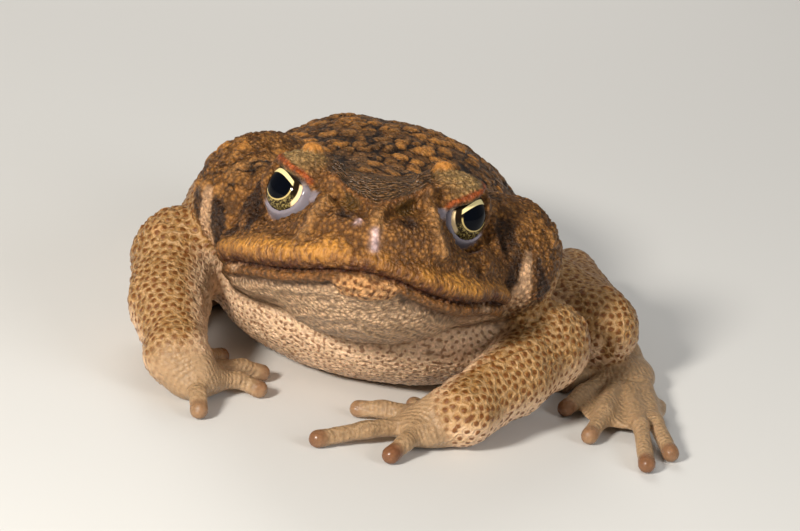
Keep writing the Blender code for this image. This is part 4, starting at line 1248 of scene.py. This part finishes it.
def toad_eye(settings):
    """A wet eyeball: a black pupil and a brown iris flecked with gold behind a clear cornea,
    whose tear film gives one sharp highlight."""
    made, tree = empty_material("wet_eye")
    share = {}
    for name in ("pupil", "bar", "across", "upward", "radius"):
        share[name] = add(tree, "Attribute", {"attribute_name": name}, out="Fac")
    spot = add(tree, "CombineXYZ", None, {0: share["across"], 1: share["upward"]})
    share["flecks"] = add(tree, "TexNoise", None, {
        "Vector": spot, "Scale": 2.2, "Detail": 5.0, "Roughness": 0.8})

    # Each layer's colour shows where all its values lie between two edges, this soft
    layers = [
        (settings.fleck, [("flecks", 0.53, 9.0, 0.05), ("upward", -9.0, -1.9, 0.5),
                          ("radius", -1.0, 4.9, 0.3)]),
        (linear("#BFA86C"), [("pupil", 0.97, 1.09, 0.04), ("upward", -9.0, -0.6, 0.3)]),
        (settings.gold, [("bar", 0.0, 0.98, 0.06), ("across", -4.9, 2.9, 0.15)]),
        (linear("#F2D2A0"), [("radius", 4.05, 4.72, 0.1), ("across", 2.6, 9.0, 0.3),
                             ("upward", -4.0, 0.6, 0.35)]),
        (linear("#17110B"), [("radius", 4.78, 99.0, 0.12)]),
        (settings.pupil, [("pupil", -1.0, 1.0, 0.03), ("bar", -99.0, -0.02, 0.05)]),
    ]
    base = opaque(settings.iris)
    for colour, windows in layers:
        part = 1.0
        for name, low, high, soft in windows:
            for outer, inner in ((low - soft, low + soft), (high + soft, high - soft)):
                part = add(tree, "MapRange", SMOOTH, {
                    "Value": share[name], "From Min": outer, "From Max": inner, "To Max": part,
                })
        base = add(tree, "Mix", COLOURS, {0: part, 6: base, 7: opaque(colour)}, 2)
    shader = add(tree, "BsdfPrincipled", None, {
        "Base Color": base, "Roughness": 0.4, "IOR": 1.38, "Specular IOR Level": 0.0,
        "Coat Weight": 1.0, "Coat Roughness": 0.01, "Coat IOR": 1.18,
    })
    add(tree, "OutputMaterial", None, {"Surface": shader})
    return made


def paint(name, description, code):
    return FloatVectorProperty(
        name=name, description=description, subtype="COLOR", size=3, min=0.0, max=1.0,
        default=linear(code),
    )


class SkinSettings(bpy.types.PropertyGroup):
    cell: FloatProperty(
        name="Cell", description="Width of a face of the skin before it is thinned",
        default=0.62 * MM, min=0.3 * MM, max=2.0 * MM, unit="LENGTH",
    )
    triangles: IntProperty(
        name="Triangles", description="Triangles that the finished skin keeps",
        default=192000, min=20000, max=199000,
    )
    back: paint("Back", "Golden brown of the back", "#7B552F")
    mottle: paint("Mottle", "Darker brown of the mottling", "#4A2F15")
    wart: paint("Warts", "Orange tan of the tops of the warts", "#A8743C")
    belly: paint("Belly", "Cream pink of the chest and belly", "#E9C4A0")
    spot: paint("Spots", "Orange brown of the spots on the limbs", "#6E3F16")
    lip: paint("Lip", "Golden orange of the upper lip", "#C08438")


class EyeSettings(bpy.types.PropertyGroup):
    pupil: paint("Pupil", "Blue black of the pupil", "#04060C")
    iris: paint("Iris", "Dark brown of the iris", "#1E150C")
    fleck: paint("Flecks", "Gold of the flecks in the lower iris", "#8F7D4A")
    gold: paint("Ring", "Pale gold of the bar, the ring and the crescent", "#E6D398")


class StageSettings(bpy.types.PropertyGroup):
    floor: paint("Floor", "Pale grey of the floor", "#D5D3CF")
    key: FloatProperty(
        name="Key light", description="Power of the large lamp above the camera",
        default=10.0, min=0.0, max=100.0, unit="POWER",
    )
    fill: FloatProperty(
        name="Fill light", description="Power of the lamp on the toad's left",
        default=3.6, min=0.0, max=100.0, unit="POWER",
    )


# The box that holds the whole toad, the grid's cell in it, and the steps of the thinning
GRID_LOW, GRID_HIGH, GRID_CELL = (-78, -60, -2), (84, 112, 62), 1.4
WEIGHT_LEVELS = 20


def thinning(points, outward):
    """How readily each point is given up when the skin is thinned: least on the face, and most
    at the rear and underneath."""
    local = to_head(points)
    care = rise(-local[:, 1], 0.0, 14.0) * rise(local[:, 2], -12.0, -6.0)
    hidden = rise(-outward[:, 2], 0.3, 0.8) * (points[:, 1] > 20)
    behind = rise(points[:, 1], 30.0, 60.0)
    return np.clip(0.4 - 0.36 * care + 0.2 * behind + 0.5 * hidden, 0.02, 1.0)


def set_values(mesh, name, values):
    """Note one value at each of the mesh's points, for its material to read."""
    layer = mesh.attributes.new(name, "FLOAT", "POINT")
    layer.data.foreach_set("value", values.astype(np.float32))


class TOAD_OT_skin(bpy.types.Operator):
    """Build the toad's skin as one closed surface with its folds, lids, warts and markings"""

    bl_idname = "toad.skin"
    bl_label = "Skin"

    def execute(self, context):
        settings = context.scene.toad_skin
        points, faces = contour(whole, GRID_LOW, GRID_HIGH, GRID_CELL)
        mesh = bpy.data.meshes.new("skin")
        mesh.from_pydata(settle(points, whole, 2) * MM, [], faces.tolist())
        # Small even faces carry the relief, and are moved back onto the flesh before it is added
        thing = new_object("work", mesh)
        remesh = thing.modifiers.new("even", "REMESH")
        remesh.mode, remesh.voxel_size = "VOXEL", settings.cell
        apply_modifiers(thing)
        points = points_of(thing.data) / MM
        for _ in range(4):
            outward = points_of(thing.data, "normal")
            points -= np.clip(whole(points), -1.0, 1.0)[:, None] * outward
            set_points(thing.data, points * MM)
        outward = points_of(thing.data, "normal")
        height, marks = relief_and_marks(points, outward)
        points += height[:, None] * outward
        points[:, 2] = np.maximum(points[:, 2], FLOOR)
        set_points(thing.data, points * MM)

        # The skin is thinned to its share of triangles, least on the face
        group = thing.vertex_groups.new(name="thin")
        levels = np.round(thinning(points, outward) * WEIGHT_LEVELS)
        for level in range(WEIGHT_LEVELS + 1):
            chosen = np.nonzero(levels == level)[0]
            if len(chosen):
                group.add(chosen.tolist(), level / WEIGHT_LEVELS, "REPLACE")
        thin = thing.modifiers.new("thin", "DECIMATE")
        thin.vertex_group = "thin"
        thin.vertex_group_factor = 1.0
        thin.ratio = settings.triangles / (2.0 * len(thing.data.polygons))
        apply_modifiers(thing)
        mesh = thing.data.copy()
        bpy.data.objects.remove(thing)

        # Each point that is left takes the markings of the nearest point there was
        tree = tree_of(points)
        nearest = np.array([tree.find(point.co / MM)[1] for point in mesh.vertices])
        for name in MARK_NAMES:
            set_values(mesh, name, marks[name][nearest])
        points = points_of(mesh)
        points[:, 2] = np.maximum(points[:, 2], FLOOR)
        set_points(mesh, points + frame_shift() * MM)
        mesh.name = "skin"
        skin = new_piece("skin", mesh, toad_skin(settings))
        skin.vertex_groups.clear()
        flesh_nodes = [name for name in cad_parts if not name.startswith("eye")]
        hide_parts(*flesh_nodes)
        return {"FINISHED"}


class TOAD_OT_eyes(bpy.types.Operator):
    """Build both eyeballs, each with its cornea, pupil and gold-flecked iris"""

    bl_idname = "toad.eyes"
    bl_label = "Eyes"

    def execute(self, context):
        finish = toad_eye(context.scene.toad_eyes)
        for side, sign in SIDES.items():
            middle = from_head(np.array(EYE_PLACE) * (sign, 1, 1))
            axes = HEAD_AXES @ iris_axes(sign)
            turn = Vector(axes[:, 2]).to_track_quat("Z", "Y").to_matrix().to_4x4()
            mesh = new_mesh(
                "eyeball_" + side, bmesh.ops.create_uvsphere, u_segments=96, v_segments=64,
                radius=EYE_RADIUS * MM, matrix=turn,
            )
            away = points_of(mesh) / MM @ axes
            across, upward = away[:, 0], away[:, 1]
            behind = np.where(away[:, 2] < 0, BEHIND, 0.0)
            turned = across - PUPIL_MIDDLE[0], upward - PUPIL_MIDDLE[1]
            cosine, sine = math.cos(PUPIL_TILT), math.sin(PUPIL_TILT)
            long = (turned[0] * cosine + turned[1] * sine) / PUPIL_RADII[0]
            short = (turned[1] * cosine - turned[0] * sine) / PUPIL_RADII[1]
            fields = {
                "pupil": np.hypot(long, short) + behind,
                "bar": upward - BAR_HEIGHT + BAR_SLOPE * across + BAR_BEND * across**2 + behind,
                "across": across,
                "upward": upward,
                "radius": np.hypot(across, upward) + behind,
            }
            for name, values in fields.items():
                set_values(mesh, name, values)
            # The clear front of the ball bulges a little
            cornea = rise(away[:, 2], CORNEA_EDGE, EYE_RADIUS)
            points = points_of(mesh) * (1.0 + CORNEA_BULGE * cornea)[:, None]
            set_points(mesh, points + (middle + frame_shift()) * MM)
            ball = new_piece("eyeball_" + side, mesh, finish)
            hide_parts("eye_" + side)
        return {"FINISHED"}


CAMERA_AZIMUTH = math.radians(9.0)
CAMERA_ELEVATION = math.radians(17.5)
CAMERA_ROLL = math.radians(10.0)
CAMERA_DISTANCE = 600.0
CAMERA_TARGET = (7.0716, 1.0898, 29.9054)
CAMERA_LENS, SENSOR_WIDTH = 125.0, 36.0
FLOOR_WIDTH = 6.0
ROOM_COLOUR, ROOM_LIGHT = (1.0, 0.985, 0.96, 1.0), 0.22


class TOAD_OT_stage(bpy.types.Operator):
    """Set the camera, the pale floor and the soft studio lights"""

    bl_idname = "toad.stage"
    bl_label = "Stage"

    def execute(self, context):
        settings = context.scene.toad_stage
        shift = frame_shift()
        target = Vector(np.array(CAMERA_TARGET) + shift) * MM
        flat = math.cos(CAMERA_ELEVATION)
        back = Vector((
            math.sin(CAMERA_AZIMUTH) * flat, -math.cos(CAMERA_AZIMUTH) * flat,
            math.sin(CAMERA_ELEVATION),
        ))
        camera = new_object("camera", bpy.data.cameras.new("camera"))
        camera.location = target + back * CAMERA_DISTANCE * MM
        camera.rotation_mode = "QUATERNION"
        camera.rotation_quaternion = (
            back.to_track_quat("Z", "Y") @ Quaternion((0.0, 0.0, 1.0), CAMERA_ROLL)
        )
        camera.data.lens = CAMERA_LENS
        camera.data.sensor_width = SENSOR_WIDTH
        camera.data.clip_start = 0.01
        context.scene.camera = camera

        mesh = new_mesh(
            "floor", bmesh.ops.create_grid, x_segments=1, y_segments=1, size=0.5 * FLOOR_WIDTH
        )
        floor = new_object("floor", mesh)
        made, tree = empty_material("matt_card")
        shader = add(tree, "BsdfPrincipled", None, {
            "Base Color": opaque(settings.floor), "Roughness": 0.8,
        })
        add(tree, "OutputMaterial", None, {"Surface": shader})
        mesh.materials.append(made)

        # Each lamp's name, power, width, place in metres and colour
        lamps = [
            ("key", settings.key, 0.13, (-0.24, -0.74, 0.37), (1.0, 0.96, 0.89)),
            ("fill", settings.fill, 0.60, (0.80, -0.35, 0.45), (0.94, 0.97, 1.0)),
            ("rim", settings.fill, 0.50, (-0.30, 0.70, 0.60), (1.0, 0.98, 0.95)),
        ]
        for name, power, size, place, colour in lamps:
            lamp = bpy.data.lights.new(name, "AREA")
            lamp.shape, lamp.size, lamp.energy, lamp.color = "DISK", size, power, colour
            thing = new_object(name, lamp)
            thing.location = place
            thing.rotation_euler = (target - Vector(place)).to_track_quat("-Z", "Y").to_euler()
            # Only the key lamp shows in the damp skin and in the eyes
            thing.visible_glossy = name == "key"
        world = bpy.data.worlds.new("studio")
        world.use_nodes = True
        background = world.node_tree.nodes["Background"]
        background.inputs["Color"].default_value = ROOM_COLOUR
        background.inputs["Strength"].default_value = ROOM_LIGHT
        context.scene.world = world
        context.scene.view_settings.view_transform = "Standard"
        return {"FINISHED"}


class TOAD_PT_model(bpy.types.Panel):
    """Lists what the toad is made of"""

    bl_label = "Cane toad"
    bl_idname = "TOAD_PT_model"
    bl_space_type = "VIEW_3D"
    bl_region_type = "UI"
    bl_category = "Toad"

    def draw(self, context):
        for part in ("skin", "eyes", "stage"):
            box = self.layout.box()
            settings = getattr(context.scene, "toad_" + part)
            for name in settings.__annotations__:
                box.prop(settings, name)
            box.operator("toad." + part)


CLASSES = (
    SkinSettings, EyeSettings, StageSettings, TOAD_OT_skin, TOAD_OT_eyes, TOAD_OT_stage,
    TOAD_PT_model,
)


def register():
    for kind in CLASSES:
        bpy.utils.register_class(kind)
    bpy.types.Scene.toad_skin = PointerProperty(type=SkinSettings)
    bpy.types.Scene.toad_eyes = PointerProperty(type=EyeSettings)
    bpy.types.Scene.toad_stage = PointerProperty(type=StageSettings)


def unregister():
    del bpy.types.Scene.toad_stage
    del bpy.types.Scene.toad_eyes
    del bpy.types.Scene.toad_skin
    for kind in reversed(CLASSES):
        bpy.utils.unregister_class(kind)


def main():
    register()
    bpy.ops.toad.stage()
    bpy.ops.toad.skin()
    bpy.ops.toad.eyes()


if __name__ == "__main__":
    main()
